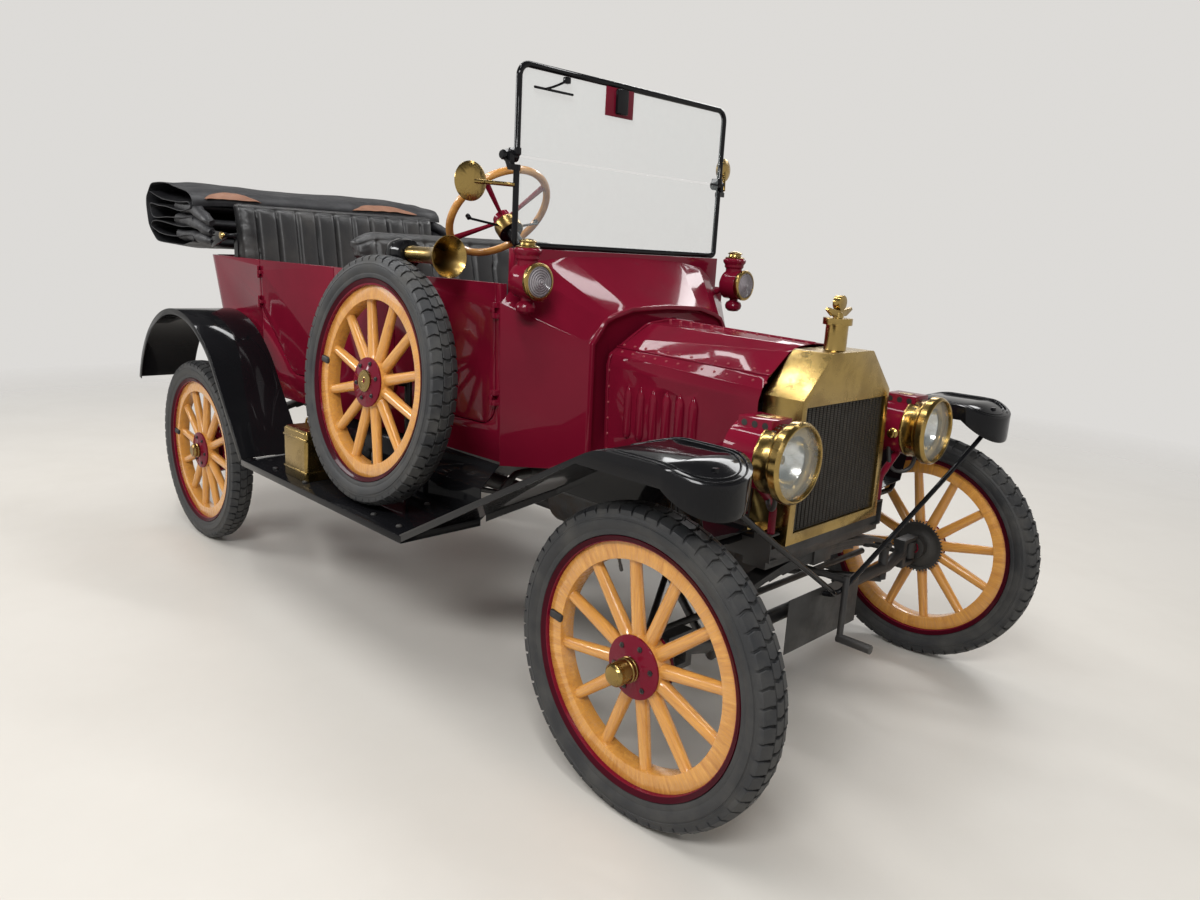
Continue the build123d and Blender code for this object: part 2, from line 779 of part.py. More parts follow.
# Radiator shell with its header tank, filler neck and feet
radiator_front_x = front_axle_x + radiator_ahead
radiator_rear_x = radiator_front_x - radiator_depth
shell_outline = [
    (-radiator_bottom_half, radiator_bottom),
    (-header_corner_half, header_corner_z),
    (-header_top_half, header_top_z),
    (header_top_half, header_top_z),
    (header_corner_half, header_corner_z),
    (radiator_bottom_half, radiator_bottom),
]
window_bottom = radiator_bottom + radiator_frame
window_half_low = radiator_bottom_half - radiator_frame
window_half_high = header_corner_half - radiator_frame + 10
with BuildPart() as shell:
    with BuildSketch(Plane.YZ.offset(radiator_rear_x)) as outline:
        with BuildLine():
            Polyline(*shell_outline, close=True)
        make_face()
        fillet(outline.vertices().group_by(Axis.Y)[-1], radius=14)
    extrude(outline.sketch, amount=radiator_depth)
    with BuildSketch(Plane.YZ.offset(radiator_rear_x)) as window:
        with BuildLine():
            Polyline(
                (-window_half_low, window_bottom),
                (-window_half_high, core_top),
                (window_half_high, core_top),
                (window_half_low, window_bottom),
                close=True,
            )
        make_face()
    extrude(window.sketch, amount=radiator_depth, mode=Mode.SUBTRACT)
    middle_x = (radiator_front_x + radiator_rear_x) / 2
    rod((middle_x, 0, header_top_z - 5), (middle_x, 0, neck_top), neck_radius)
    rod((middle_x, 0, neck_top - 1), (middle_x, 0, filler_cap_top), neck_radius + 9)
    rod((middle_x, 0, filler_cap_top - 1), (middle_x, 0, filler_cap_top + 14), 14)
    gauge_z = ornament_top - gauge_radius
    rod((middle_x, 0, filler_cap_top + 10), (middle_x, 0, gauge_z), 6)
    rod((middle_x - 10, 0, gauge_z), (middle_x + 10, 0, gauge_z), gauge_radius)
    with BuildSketch(Plane.YZ.offset(middle_x - wing_thickness / 2)) as wings:
        with BuildLine():
            half_wing = [
                (0, filler_cap_top + 2),
                (wing_half * 0.55, filler_cap_top + 5),
                (wing_half, filler_cap_top + 22),
                (wing_half * 0.9, filler_cap_top + 28),
                (wing_half * 0.4, filler_cap_top + 22),
                (0, filler_cap_top + 20),
            ]
            other_half = [(-y, z) for y, z in half_wing[1:-1]]
            Polyline(*half_wing, *other_half[::-1], close=True)
        make_face()
    extrude(wings.sketch, amount=wing_thickness)
    for side in (-1, 1):
        foot = sorted((side * (radiator_bottom_half - 8), side * (rail_half_width - 4)))
        block(middle_x - 24, middle_x + 24, foot[0], foot[1], rail_top + seat_gap, rail_top + 8)
save(shell.part, "radiator_shell")

with BuildPart() as core:
    with BuildSketch(Plane.YZ.offset(radiator_rear_x + core_recess)) as core_outline:
        with BuildLine():
            Polyline(
                (seat_gap - window_half_low, window_bottom + seat_gap),
                (seat_gap - window_half_high, core_top - seat_gap),
                (window_half_high - seat_gap, core_top - seat_gap),
                (window_half_low - seat_gap, window_bottom + seat_gap),
                close=True,
            )
        make_face()
    extrude(core_outline.sketch, amount=radiator_depth - 2 * core_recess)
    pitch = 2 * window_half_high / core_tube_count
    with BuildSketch(Plane.YZ.offset(radiator_front_x - core_recess - core_groove)) as grooves:
        with Locations((0, (window_bottom + core_top) / 2)):
            with GridLocations(pitch, 1, core_tube_count - 1, 1):
                Rectangle(core_groove, core_top - window_bottom - 8)
    extrude(grooves.sketch, amount=core_groove + 1, mode=Mode.SUBTRACT)
save(core.part, "radiator_core")

# Cowl: from the arch round the bonnet back to the screen board and the front doors
cowl_front_x = behind(cowl_front_behind)
cowl_rear_x = behind(cowl_rear_behind)
cowl_front_half = [(325, cowl_bottom), (330, 1035), (276, 1105), (242, 1120), (163, 1140)]
cowl_rear_half = [
    (body_front_half - 14, cowl_bottom),
    (body_front_half, 1140),
    (430, 1232),
    (380, 1262),
    (260, 1278),
]
cowl_front_peak = 1147.0
cowl_rear_peak = 1285.0


def arch(half_points, peak):
    # a closed arch section from its left half, as (y, z)
    left = [(-y, z) for y, z in half_points]
    return left + [(0, peak)] + half_points[::-1]


with BuildPart() as cowl:
    with BuildSketch(Plane.YZ.offset(cowl_rear_x)) as rear_arch:
        with BuildLine():
            Polyline(*arch(cowl_rear_half, cowl_rear_peak), close=True)
        make_face()
    with BuildSketch(Plane.YZ.offset(cowl_front_x)) as front_arch:
        with BuildLine():
            Polyline(*arch(cowl_front_half, cowl_front_peak), close=True)
        make_face()
    loft(ruled=True)
    with BuildSketch(Plane.YZ.offset(cowl_rear_x)) as rear_hollow:
        add(rear_arch.sketch_local)
        offset(amount=-cowl_wall, mode=Mode.REPLACE, kind=Kind.INTERSECTION)
    with BuildSketch(Plane.YZ.offset(cowl_front_x)) as front_hollow:
        add(front_arch.sketch_local)
        offset(amount=-cowl_wall, mode=Mode.REPLACE, kind=Kind.INTERSECTION)
    loft([rear_hollow.sketch, front_hollow.sketch], ruled=True, mode=Mode.SUBTRACT)
    open_half = body_front_half
    open_top = cowl_bottom + cowl_wall
    block(cowl_rear_x, cowl_front_x, -open_half, open_half, cowl_bottom, open_top, Mode.SUBTRACT)
    # dash across the front and the lip round the bonnet
    with BuildSketch(Plane.YZ.offset(cowl_front_x - dash_thickness)) as dash:
        add(front_arch.sketch_local)
    extrude(dash.sketch, amount=dash_thickness)
    with BuildSketch(Plane.YZ.offset(cowl_front_x)) as lip:
        add(front_arch.sketch_local)
        offset(amount=-cowl_lip_width, mode=Mode.SUBTRACT, kind=Kind.INTERSECTION)
    extrude(lip.sketch, amount=cowl_lip)
    block(
        cowl_front_x - dash_thickness,
        cowl_front_x,
        -rail_half_width,
        rail_half_width,
        rail_top + seat_gap,
        cowl_bottom + 2,
    )
    # board under the screen
    with BuildSketch(Plane.YZ.offset(cowl_rear_x - screen_board_thickness)) as board:
        with BuildLine():
            Polyline(
                (-screen_board_half, 1120),
                (-screen_board_half, screen_board_top),
                (screen_board_half, screen_board_top),
                (screen_board_half, 1120),
                close=True,
            )
        make_face()
    extrude(board.sketch, amount=screen_board_thickness)
    # passage for the steering column
    rod(tuple(column_top), tuple(column_foot), column_radius + panel_gap, Mode.SUBTRACT)
    # rod along the bonnet's ridge
    rod(
        (cowl_front_x - 2, 0, bonnet_rear_top),
        (radiator_rear_x - seat_gap, 0, bonnet_front_top),
        bonnet_rod_radius,
    )
save(cowl.part, "cowl")

# Bonnet: two tops on the ridge rod and two sides on the tops' lower edges
bonnet_rear_x = behind(bonnet_rear_behind)
bonnet_front_x = radiator_rear_x - panel_gap
ridge_edge = bonnet_rod_radius + hinge_gap


def panel(rear_points, front_points, thickness):
    # a folded sheet between two profiles of (y, z), its thickness on the inner side
    sections = []
    for station, points in ((bonnet_rear_x, rear_points), (bonnet_front_x, front_points)):
        with BuildSketch(Plane.YZ.offset(station)) as section:
            with BuildLine() as outer:
                Polyline(*points)
                offset(amount=thickness, side=Side.RIGHT)
            make_face()
        sections.append(section.sketch)
    loft(sections, ruled=True)


top_rear = [(ridge_edge, bonnet_rear_top), (109, 1094), (189, 1051), bonnet_side_hinge_rear]
top_front = [(ridge_edge, bonnet_front_top), (72, 1082), (116, 1068), bonnet_side_hinge_front]
side_edge = (0.88 * (side_hinge_radius + hinge_gap), 0.47 * (side_hinge_radius + hinge_gap))
side_start_rear = (bonnet_side_hinge_rear[0] + side_edge[0], bonnet_side_hinge_rear[1] - side_edge[1])
side_start_front = (bonnet_side_hinge_front[0] + side_edge[0], bonnet_side_hinge_front[1] - side_edge[1])
side_rear = [side_start_rear, (264, 1008), (274, 975), (263, bonnet_bottom)]
side_front = [side_start_front, (229, 975), (240, 945), (242, bonnet_bottom)]
with BuildPart() as bonnet_top_left:
    panel(top_rear, top_front, bonnet_sheet)
    rod((bonnet_rear_x, *bonnet_side_hinge_rear), (bonnet_front_x, *bonnet_side_hinge_front), side_hinge_radius)
save(bonnet_top_left.part, "bonnet_top_left")
with BuildPart() as bonnet_top_right:
    mirror(bonnet_top_left.part, about=Plane.XZ)
save(bonnet_top_right.part, "bonnet_top_right")

with BuildPart() as bonnet_side_left:
    panel(side_rear, side_front, bonnet_sheet)
    for number in range(louvre_count):
        louvre_x = behind(louvre_first_behind) + number * louvre_pitch
        run = (louvre_x - bonnet_rear_x) / (bonnet_front_x - bonnet_rear_x)
        face_y = 270 + (242 - 270) * run - bonnet_sheet
        with BuildSketch(Plane.XY.offset(louvre_bottom)) as louvre:
            with BuildLine():
                Polyline(
                    (louvre_x - louvre_width / 2, face_y - 8),
                    (louvre_x + louvre_width / 2, face_y - 8),
                    (louvre_x + louvre_width / 2, face_y),
                    (louvre_x - louvre_width / 2, face_y + 12),
                    close=True,
                )
            make_face()
        extrude(louvre.sketch, amount=louvre_height)
save(bonnet_side_left.part, "bonnet_side_left")
with BuildPart() as bonnet_side_right:
    mirror(bonnet_side_left.part, about=Plane.XZ)
save(bonnet_side_right.part, "bonnet_side_right")

# Body tub: one lofted shell, open at the top, cut for four doors
body_front_x = cowl_rear_x
body_levels = [
    (body_bottom, body_tuck, body_tail_rake + 30),
    (body_waist, 12, body_tail_rake),
    (body_top, 0, 0),
]


def body_plan(level, tuck, tail_forward):
    # the tub's outline at one height
    corners = [
        (body_front_x, body_front_half - tuck),
        (behind(body_mid_behind), body_mid_half - tuck),
        (behind(body_quarter_behind), body_quarter_half - tuck),
        (behind(body_tail_behind) + tail_forward, body_tail_half - tuck),
    ]
    left = [(x, -y) for x, y in corners]
    with BuildSketch(Plane.XY.offset(level)) as plan:
        with BuildLine():
            Polyline(*corners, *left[::-1], close=True)
        make_face()
        fillet(plan.vertices().group_by(Axis.X)[0], radius=tail_corner_radius)
    return plan


def body_half(distance):
    # half width of the tub's top at a distance behind the front axle
    stations = [
        (cowl_rear_behind, body_front_half),
        (body_mid_behind, body_mid_half),
        (body_quarter_behind, body_quarter_half),
        (body_tail_behind, body_tail_half),
    ]
    for (near, near_half), (far, far_half) in zip(stations, stations[1:]):
        if distance <= far:
            return near_half + (far_half - near_half) * (distance - near) / (far - near)
    return body_tail_half


with BuildPart() as body_shell:
    outer_plans = [body_plan(*level) for level in body_levels]
    loft([plan.sketch for plan in outer_plans], ruled=True)
    inner_plans = []
    for plan, level in zip(outer_plans, body_levels):
        with BuildSketch(Plane.XY.offset(level[0])) as inner:
            add(plan.sketch_local)
            offset(amount=-body_wall, mode=Mode.REPLACE, kind=Kind.INTERSECTION)
        inner_plans.append(inner)
    loft([plan.sketch for plan in inner_plans], ruled=True, mode=Mode.SUBTRACT)

# Doors: name, front and rear distances, opening's points in the side view, hinge at the front edge
front_door_front = behind(front_door_front_behind)
front_door_rear = behind(front_door_rear_behind)
rear_door_front = behind(rear_door_front_behind)
rear_door_rear = behind(rear_door_rear_behind)
door_over = 60
front_opening = [
    (front_door_rear, body_top + door_over),
    (front_door_rear, door_bottom),
    (front_door_front, door_bottom),
    (front_door_front, body_top + door_over),
]
rear_door_cut_run = 225.0
rear_door_cut_rise = 235.0
rear_opening = [
    (rear_door_rear, body_top + door_over),
    (rear_door_rear, door_bottom + rear_door_cut_rise),
    (rear_door_rear + rear_door_cut_run, door_bottom),
    (rear_door_front, door_bottom),
    (rear_door_front, body_top + door_over),
]


def opening_prism(points, gap, side, mode):
    # the door opening's outline through one side wall, drawn in by a gap
    with BuildSketch(Plane.XZ) as outline:
        with BuildLine():
            Polyline(*points, close=True)
        make_face()
        low = outline.vertices().filter_by(lambda corner: corner.Y < body_top)
        fillet(low, radius=door_corner)
        if gap > 0:
            offset(amount=-gap, mode=Mode.REPLACE, kind=Kind.INTERSECTION)
    extrude(outline.sketch, amount=-side * (body_quarter_half + 60), mode=mode)


door_hinge_low = 838.0
door_hinge_high = 1095.0
rear_hinge_low = 1010.0
knuckle_share = 0.34


def door_hinges(edge_x, toward_body, side, half_width, heights, of_door):
    # knuckles on the hinge line: the door's in the middle, the body's above and below it
    pin_x = edge_x - toward_body * panel_gap / 2
    pin_y = side * (half_width + door_hinge_stand)
    leaf = 16 * toward_body
    inner_y = side * (half_width - body_wall + 4)
    for height in heights:
        third = door_hinge_length * knuckle_share
        if of_door:
            spans = [(height + third + pin_gap, height + door_hinge_length - third - pin_gap)]
            leaf_x = sorted((pin_x, pin_x - leaf))
        else:
            top = height + door_hinge_length
            spans = [(height, height + third), (top - third, top)]
            leaf_x = sorted((pin_x, pin_x + leaf))
        for low, high in spans:
            rod((pin_x, pin_y, low), (pin_x, pin_y, high), door_hinge_radius)
            leaf_y = sorted((pin_y, inner_y))
            block(leaf_x[0], leaf_x[1], leaf_y[0], leaf_y[1], low, high)


front_heights = [door_hinge_low, door_hinge_high]
rear_heights = [rear_hinge_low, door_hinge_high + 30]
front_half = body_half(front_door_front_behind)
rear_half = body_half(rear_door_rear_behind)
riser_x = behind(front_seat_front_behind) - 30
rear_riser_x = behind(rear_seat_front_behind) - 20
with BuildPart() as body_tub:
    add(body_shell.part)
    # open the front end, close the floor
    end_low = body_front_x - body_wall - 2
    end_high = body_front_x + 1
    inner_front = body_front_half - body_tuck - body_wall
    block(end_low, end_high, -inner_front, inner_front, body_bottom, body_top, Mode.SUBTRACT)
    upper_front = body_front_half - body_wall - 1
    block(end_low, end_high, -upper_front, upper_front, body_waist, body_top, Mode.SUBTRACT)
    with BuildSketch(Plane.XY.offset(body_bottom)) as floor:
        add(outer_plans[0].sketch_local)
        offset(amount=-body_wall / 2, mode=Mode.REPLACE, kind=Kind.INTERSECTION)
    extrude(floor.sketch, amount=floor_thickness)
    for side in (-1, 1):
        opening_prism(front_opening, 0, side, Mode.SUBTRACT)
        opening_prism(rear_opening, 0, side, Mode.SUBTRACT)
        sill = sorted((side * rail_inner, side * rail_half_width))
        block(rear_axle_x + 60, body_front_x, sill[0], sill[1], rail_top + seat_gap, body_bottom + 1)
        door_hinges(front_door_front, 1, side, front_half, front_heights, False)
        door_hinges(rear_door_rear, -1, side, rear_half, rear_heights, False)
    # seat boards and the panel behind the front seat
    board_half = body_mid_half - body_tuck - body_wall - 6
    floor_top = body_bottom + floor_thickness - 1
    seat_under = cushion_bottom - seat_gap
    front_riser_half = board_half - 22
    block(riser_x - seat_board, riser_x, -front_riser_half, front_riser_half, floor_top, seat_under)
    rear_of_front = behind(front_seat_rear_behind) - seat_gap
    board_low = seat_under - seat_board
    block(rear_of_front - 5, riser_x, -front_riser_half, front_riser_half, board_low, seat_under)
    panel_lean = front_back_rake * 0.6
    panel_top = front_cushion_top + (front_back_top - front_cushion_top) * 0.6
    panel_points = [
        (rear_of_front, floor_top),
        (rear_of_front, front_cushion_top),
        (rear_of_front - panel_lean, panel_top),
        (rear_of_front - panel_lean - 20, panel_top),
        (rear_of_front - 20, front_cushion_top),
        (rear_of_front - 20, floor_top),
    ]
    side_plate(panel_points, -board_half - 6, board_half + 6)
    rear_back_x = behind(rear_seat_rear_behind)
    block(rear_riser_x - seat_board, rear_riser_x, -board_half, board_half, floor_top, seat_under)
    block(rear_back_x, rear_riser_x, -board_half, board_half, board_low, seat_under)
    block(rear_back_x, rear_back_x + seat_board, -board_half, board_half, floor_top, seat_under)
save(body_tub.part, "body_tub")

doors = [
    ("door_front", front_opening, front_door_front, 1, front_half, front_heights),
    ("door_rear", rear_opening, rear_door_rear, -1, rear_half, rear_heights),
]
for door_name, opening, edge_x, toward_body, half_width, heights in doors:
    for hand, side in (("right", -1), ("left", 1)):
        with BuildPart() as door:
            add(body_shell.part)
            opening_prism(opening, panel_gap, side, Mode.INTERSECT)
            door_hinges(edge_x, toward_body, side, half_width, heights, True)
        save(door.part, f"{door_name}_{hand}")

# Seats: cushions and leaning backs
seat_half = body_mid_half - body_tuck - body_wall - seat_side_gap
seat_table = [
    ("front_seat", front_seat_front_behind, front_seat_rear_behind, front_cushion_top, front_back_top,
     front_back_rake, front_back_depth, seat_half - 24),
    ("rear_seat", rear_seat_front_behind, rear_seat_rear_behind, rear_cushion_top, rear_back_top,
     rear_back_rake, rear_back_depth, seat_half + 16),
]
for seat_name, front, rear, top, back_top, rake, depth, half in seat_table:
    with BuildPart() as cushion:
        cushion_points = [
            (behind(rear) + depth + seat_gap, cushion_bottom),
            (behind(front), cushion_bottom),
            (behind(front), top - 10),
            (behind(rear) + depth + seat_gap, top - 30),
        ]
        side_plate(cushion_points, -half, half)
        fillet(cushion.edges().filter_by(Axis.Y).group_by(Axis.Z)[-1], radius=18)
    save(cushion.part, f"{seat_name}_cushion")
    with BuildPart() as back:
        back_points = [
            (behind(rear), cushion_bottom),
            (behind(rear) + depth, cushion_bottom),
            (behind(rear) + depth, top),
            (behind(rear) - rake + depth * 0.8, back_top),
            (behind(rear) - rake, back_top),
            (behind(rear), top),
        ]
        side_plate(back_points, -half, half)
        fillet(back.edges().filter_by(Axis.Y).group_by(Axis.Z)[-1], radius=30)
    save(back.part, f"{seat_name}_back")

# Folded hood behind the rear seat, with its two side arms, and the irons that carry it
hood_centre_x = behind(rear_seat_rear_behind + rear_back_rake + 22)
hood_front_x = behind(hood_front_behind)
hood_rear_x = behind(hood_rear_behind)
with BuildPart() as hood:
    hood_points = [
        (hood_centre_x, hood_low),
        (hood_centre_x, hood_high - 70),
        (hood_centre_x - 200, hood_high - 20),
        (hood_rear_x + 50, hood_high),
        (hood_rear_x, hood_high - 110),
        (hood_rear_x + 70, hood_low + 30),
        (hood_rear_x + 280, hood_low),
    ]
    side_plate(hood_points, -hood_half_width, hood_half_width)
    for side in (-1, 1):
        arm_points = [
            (hood_front_x, hood_low + 12),
            (hood_front_x, hood_low + 90),
            (hood_centre_x, hood_high - 110),
            (hood_centre_x - 20, hood_high - 110),
            (hood_centre_x - 20, hood_low),
            (hood_centre_x, hood_low),
        ]
        arm = sorted((side * (hood_half_width - hood_arm_thickness), side * hood_half_width))
        side_plate(arm_points, arm[0], arm[1])
save(hood.part, "hood")

iron_x = behind(iron_pivot_behind)
iron_wall_y = body_half(iron_pivot_behind) - body_wall / 2
bow_y = hood_half_width - 25
with BuildPart() as hood_irons:
    for side in (-1, 1):
        foot = sorted((side * (iron_wall_y - iron_thickness / 2), side * (iron_wall_y + iron_thickness / 2)))
        block(iron_x - 18, iron_x + 18, foot[0], foot[1], body_top + seat_gap, hood_low + 80)
        pivot_z = hood_low + 68
        rod((iron_x, side * (iron_wall_y - 6), pivot_z), (iron_x, side * (bow_y + 12), pivot_z), 9)
        for bow_end in (hood_low + 24, hood_low + 50, hood_low + 78):
            bow_points = [
                (iron_x + 8, pivot_z - iron_half_width),
                (iron_x + 8, pivot_z + iron_half_width),
                (hood_front_x + seat_gap, bow_end + iron_half_width * 0.8),
                (hood_front_x + seat_gap, bow_end - iron_half_width * 0.8),
            ]
            bow = sorted((side * (bow_y - iron_thickness / 2), side * (bow_y + iron_thickness / 2)))
            side_plate(bow_points, bow[0], bow[1])
        rest_x = behind(body_tail_behind) + body_wall / 2
        rest_low = body_top + seat_gap
        rest_high = hood_low - seat_gap
        block(rest_x - 9, rest_x + 9, side * 300 - 20, side * 300 + 20, rest_low, rest_high)
save(hood_irons.part, "hood_irons")


# Fenders: a sheet along a path in the side view, with a turned-down outer lip
def fender(route, inner, outer, side):
    for depth, near, far in ((fender_sheet, inner, outer), (fender_lip, outer - fender_sheet, outer)):
        with BuildSketch(Plane.XZ) as section:
            with BuildLine():
                route()
                offset(amount=depth, side=Side.LEFT)
            make_face()
        sheet_start = Plane.XZ.offset(-max(side * near, side * far))
        with BuildSketch(sheet_start) as placed:
            add(section.sketch_local)
        extrude(placed.sketch, amount=far - near)


fender_foot_z = board_top + seat_gap + fender_sheet
front_fender_points = [
    (front_axle_x + front_fender_nose_ahead, front_fender_nose_z),
    (front_axle_x + front_fender_level_ahead, front_fender_crown),
    (behind(front_fender_knee_behind), front_fender_crown),
    (behind(board_front_behind) - 6, fender_foot_z),
]


def rear_fender_route():
    foot = (rear_axle_x + board_rear_ahead + 6, fender_foot_z)
    shoulder = (rear_axle_x + 470, 765)
    Line(foot, shoulder)
    ThreePointArc(shoulder, (rear_axle_x + 40, rear_fender_top), (rear_axle_x - 395, 650))


def clear_of_boards():
    # trims the fender's foot to lie on the running board
    board_ends = (rear_axle_x + board_rear_ahead - 1, behind(board_front_behind) + 1)
    block(*board_ends, -fender_outer - 1, fender_outer + 1, 0, board_top + seat_gap, Mode.SUBTRACT)


def front_fender_profile(lowered, depth):
    # the fender in the side view, from its top line down past the skirt
    with BuildSketch(Plane.XZ.offset(-fender_outer - 1)) as profile:
        with BuildLine():
            points = [(x, z - lowered) for x, z in front_fender_points]
            nose, level, knee, foot = points
            FilletPolyline(*points, radius=180)
            Polyline(
                foot,
                (foot[0], foot[1] - fender_lip - depth),
                (knee[0] - 60, knee[1] - front_fender_crown_skirt - depth),
                (level[0], level[1] - front_fender_crown_skirt - depth),
                (nose[0], nose[1] - front_fender_nose_skirt - depth),
                nose,
            )
        make_face()
    return profile


def front_fender_plan(wall, end):
    # the fender from above: a rounded nose, and an inner edge that runs in to the valance
    nose_x = front_axle_x + front_fender_nose_ahead - front_fender_nose_round
    middle = (front_fender_inner + fender_outer) / 2
    across = (fender_outer - front_fender_inner) / 2 - wall
    with BuildSketch(Plane.XY) as plan:
        with BuildLine():
            Polyline(
                (nose_x, fender_outer - wall),
                (behind(board_front_behind) - end, fender_outer - wall),
                (behind(board_front_behind) - end, front_fender_inner + wall),
                (behind(board_front_behind - 120), front_fender_inner - 28 + wall),
                (behind(valance_rear_behind), valance_shelf_y + wall),
                (behind(valance_rear_behind - 240), valance_shelf_y + 32 + wall),
                (behind(front_fender_knee_behind), front_fender_inner + wall),
                (nose_x, front_fender_inner + wall),
                close=True,
            )
        make_face()
        with Locations((nose_x, middle)):
            Ellipse(front_fender_nose_round - wall, across)
    return plan


def front_fender_shell(lowered, depth, wall, end):
    with BuildPart() as shell:
        profile = front_fender_profile(lowered, depth)
        extrude(profile.sketch, amount=fender_outer + 1 - valance_shelf_y + 10)
        plan = front_fender_plan(wall, end)
        extrude(plan.sketch, amount=front_fender_crown + 10, mode=Mode.INTERSECT)
    return shell.part


fender_iron_x = behind(50)
with BuildPart() as left_front_fender:
    add(front_fender_shell(0, 0, 0, 6))
    add(front_fender_shell(fender_sheet, 200, fender_sheet, 30), mode=Mode.SUBTRACT)
with BuildPart() as left_valance:
    valance_start = behind(valance_rear_behind)
    valance_end = front_axle_x + valance_front_ahead
    with BuildSketch(Plane.YZ.offset(valance_start)) as valance_section:
        with BuildLine():
            Polyline(
                (rail_half_width + seat_gap, rail_top - 20),
                (rail_half_width + seat_gap, rail_top + 4),
                (valance_shelf_y, valance_shelf_z),
                (front_fender_inner + fender_sheet - 1, front_fender_crown - 12),
            )
            offset(amount=apron_thickness, side=Side.RIGHT)
        make_face()
    extrude(valance_section.sketch, amount=valance_end - valance_start)
    with BuildSketch(Plane.XZ.offset(-front_fender_inner - 20)) as below_fender:
        with BuildLine():
            nose, level, knee, foot = [(x, z - 1) for x, z in front_fender_points]
            FilletPolyline(nose, level, knee, foot, radius=180)
            Polyline(foot, (foot[0], rail_bottom), (nose[0], rail_bottom), nose)
        make_face()
    extrude(below_fender.sketch, amount=front_fender_inner, mode=Mode.INTERSECT)
with BuildPart() as front_fenders:
    for side in (-1, 1):
        if side > 0:
            add(left_front_fender.part)
            add(left_valance.part)
        else:
            mirror(left_front_fender.part, about=Plane.XZ)
            mirror(left_valance.part, about=Plane.XZ)
        iron_route = [
            (fender_iron_x, side * (rail_half_width + seat_gap), rail_top - 30),
            (fender_iron_x, side * (front_fender_inner - 30), rail_top - 30),
            (fender_iron_x, side * (front_fender_inner + 25), front_fender_crown - fender_iron_radius - 1),
            (fender_iron_x, side * (wheel_y + 20), front_fender_crown - fender_iron_radius - 1),
        ]
        bent_rod(iron_route, fender_iron_radius, 30)
    clear_of_boards()
save(front_fenders.part, "front_fenders")

with BuildPart() as rear_fenders:
    for side in (-1, 1):
        fender(rear_fender_route, rear_fender_inner, fender_outer, side)
    clear_of_boards()
save(rear_fenders.part, "rear_fenders")

# Running boards with their splash aprons and the spare wheel's carrier
board_front_x = behind(board_front_behind)
board_rear_x = rear_axle_x + board_rear_ahead
with BuildPart() as boards:
    for side in (-1, 1):
        across = sorted((side * board_inner, side * fender_outer))
        block(board_rear_x, board_front_x, across[0], across[1], board_bottom, board_top)
        with BuildSketch(Plane.YZ.offset(board_rear_x)) as apron:
            with BuildLine():
                Polyline(
                    (side * (board_inner + 1), board_bottom),
                    (side * (board_inner + 1), board_top + 95),
                    (side * (body_front_half - body_tuck + 12), body_bottom - 4),
                )
                offset(amount=apron_thickness, side=Side.LEFT if side > 0 else Side.RIGHT)
            make_face()
        extrude(apron.sketch, amount=board_front_x - board_rear_x)
    hub_back = Vector(*spare_centre) - Vector(*spare_out) * (hub_barrel_inboard + seat_gap)
    post_top = hub_back - Vector(*spare_out) * 58
    rod((post_top.X, post_top.Y, board_top - 1), (post_top.X, post_top.Y, post_top.Z + 12), 12)
    rod(tuple(post_top), tuple(hub_back), 9)
save(boards.part, "running_boards")

# Windscreen: lower frame on the board, upper frame hinged behind it
screen_x = cowl_rear_x - screen_board_thickness / 2 - 1
screen_foot = screen_board_top + seat_gap + screen_tube
hinge_x = screen_x - 16
hinge_outer = screen_half + screen_tube + 1
lower_post_top = screen_middle - screen_hinge_radius - panel_gap - 2
with BuildPart() as screen_frame:
    lower_route = [
        (screen_x, -screen_half, lower_post_top),
        (screen_x, -screen_half, screen_foot),
        (screen_x, screen_half, screen_foot),
        (screen_x, screen_half, lower_post_top),
    ]
    bent_rod(lower_route, screen_tube, 14)
    for side in (-1, 1):
        ear = sorted((side * (screen_half - screen_tube + 1), side * (hinge_outer + screen_hinge_length)))
        block(screen_x - 8, screen_x + 8, ear[0], ear[1], lower_post_top - 16, lower_post_top)
        side_y = sorted((side * hinge_outer, side * (hinge_outer + screen_hinge_length)))
        ear_points = [
            (screen_x + 8, lower_post_top - 16),
            (hinge_x + 14, screen_middle + 6),
            (hinge_x - 14, screen_middle),
            (screen_x - 8, lower_post_top - 16),
        ]
        side_plate(ear_points, side_y[0], side_y[1])
        rod((hinge_x, side_y[0], screen_middle), (hinge_x, side_y[1], screen_middle), screen_hinge_radius)
save(screen_frame.part, "screen_frame")

glass_half = screen_half - screen_tube - seat_gap
with BuildPart() as lower_glass:
    half_glass = glass_thickness / 2
    glass_low = screen_foot + screen_tube + seat_gap
    block(screen_x - half_glass, screen_x + half_glass, -glass_half, glass_half, glass_low, screen_middle - 3)
    fillet(lower_glass.edges().filter_by(Axis.X).group_by(Axis.Z)[0], radius=8)
save(lower_glass.part, "screen_glass_lower")

with BuildPart() as upper_frame:
    upper_route = [
        (screen_x, -screen_half, screen_middle + 6),
        (screen_x, -screen_half, screen_top),
        (screen_x, screen_half, screen_top),
        (screen_x, screen_half, screen_middle + 6),
    ]
    bent_rod(upper_route, screen_tube, screen_corner)
    for side in (-1, 1):
        inner = screen_half - screen_tube
        across = sorted((side * inner, side * (hinge_outer - 2 * pin_gap)))
        rod((hinge_x, across[0], screen_middle), (hinge_x, across[1], screen_middle), screen_hinge_radius)
        lug_points = [
            (hinge_x - 14, screen_middle),
            (hinge_x - 10, screen_middle + 22),
            (screen_x + 8, screen_middle + 22),
            (screen_x + 8, screen_middle + 4),
            (hinge_x + 10, screen_middle - 4),
        ]
        side_plate(lug_points, across[0], across[1])
save(upper_frame.part, "screen_upper_frame")

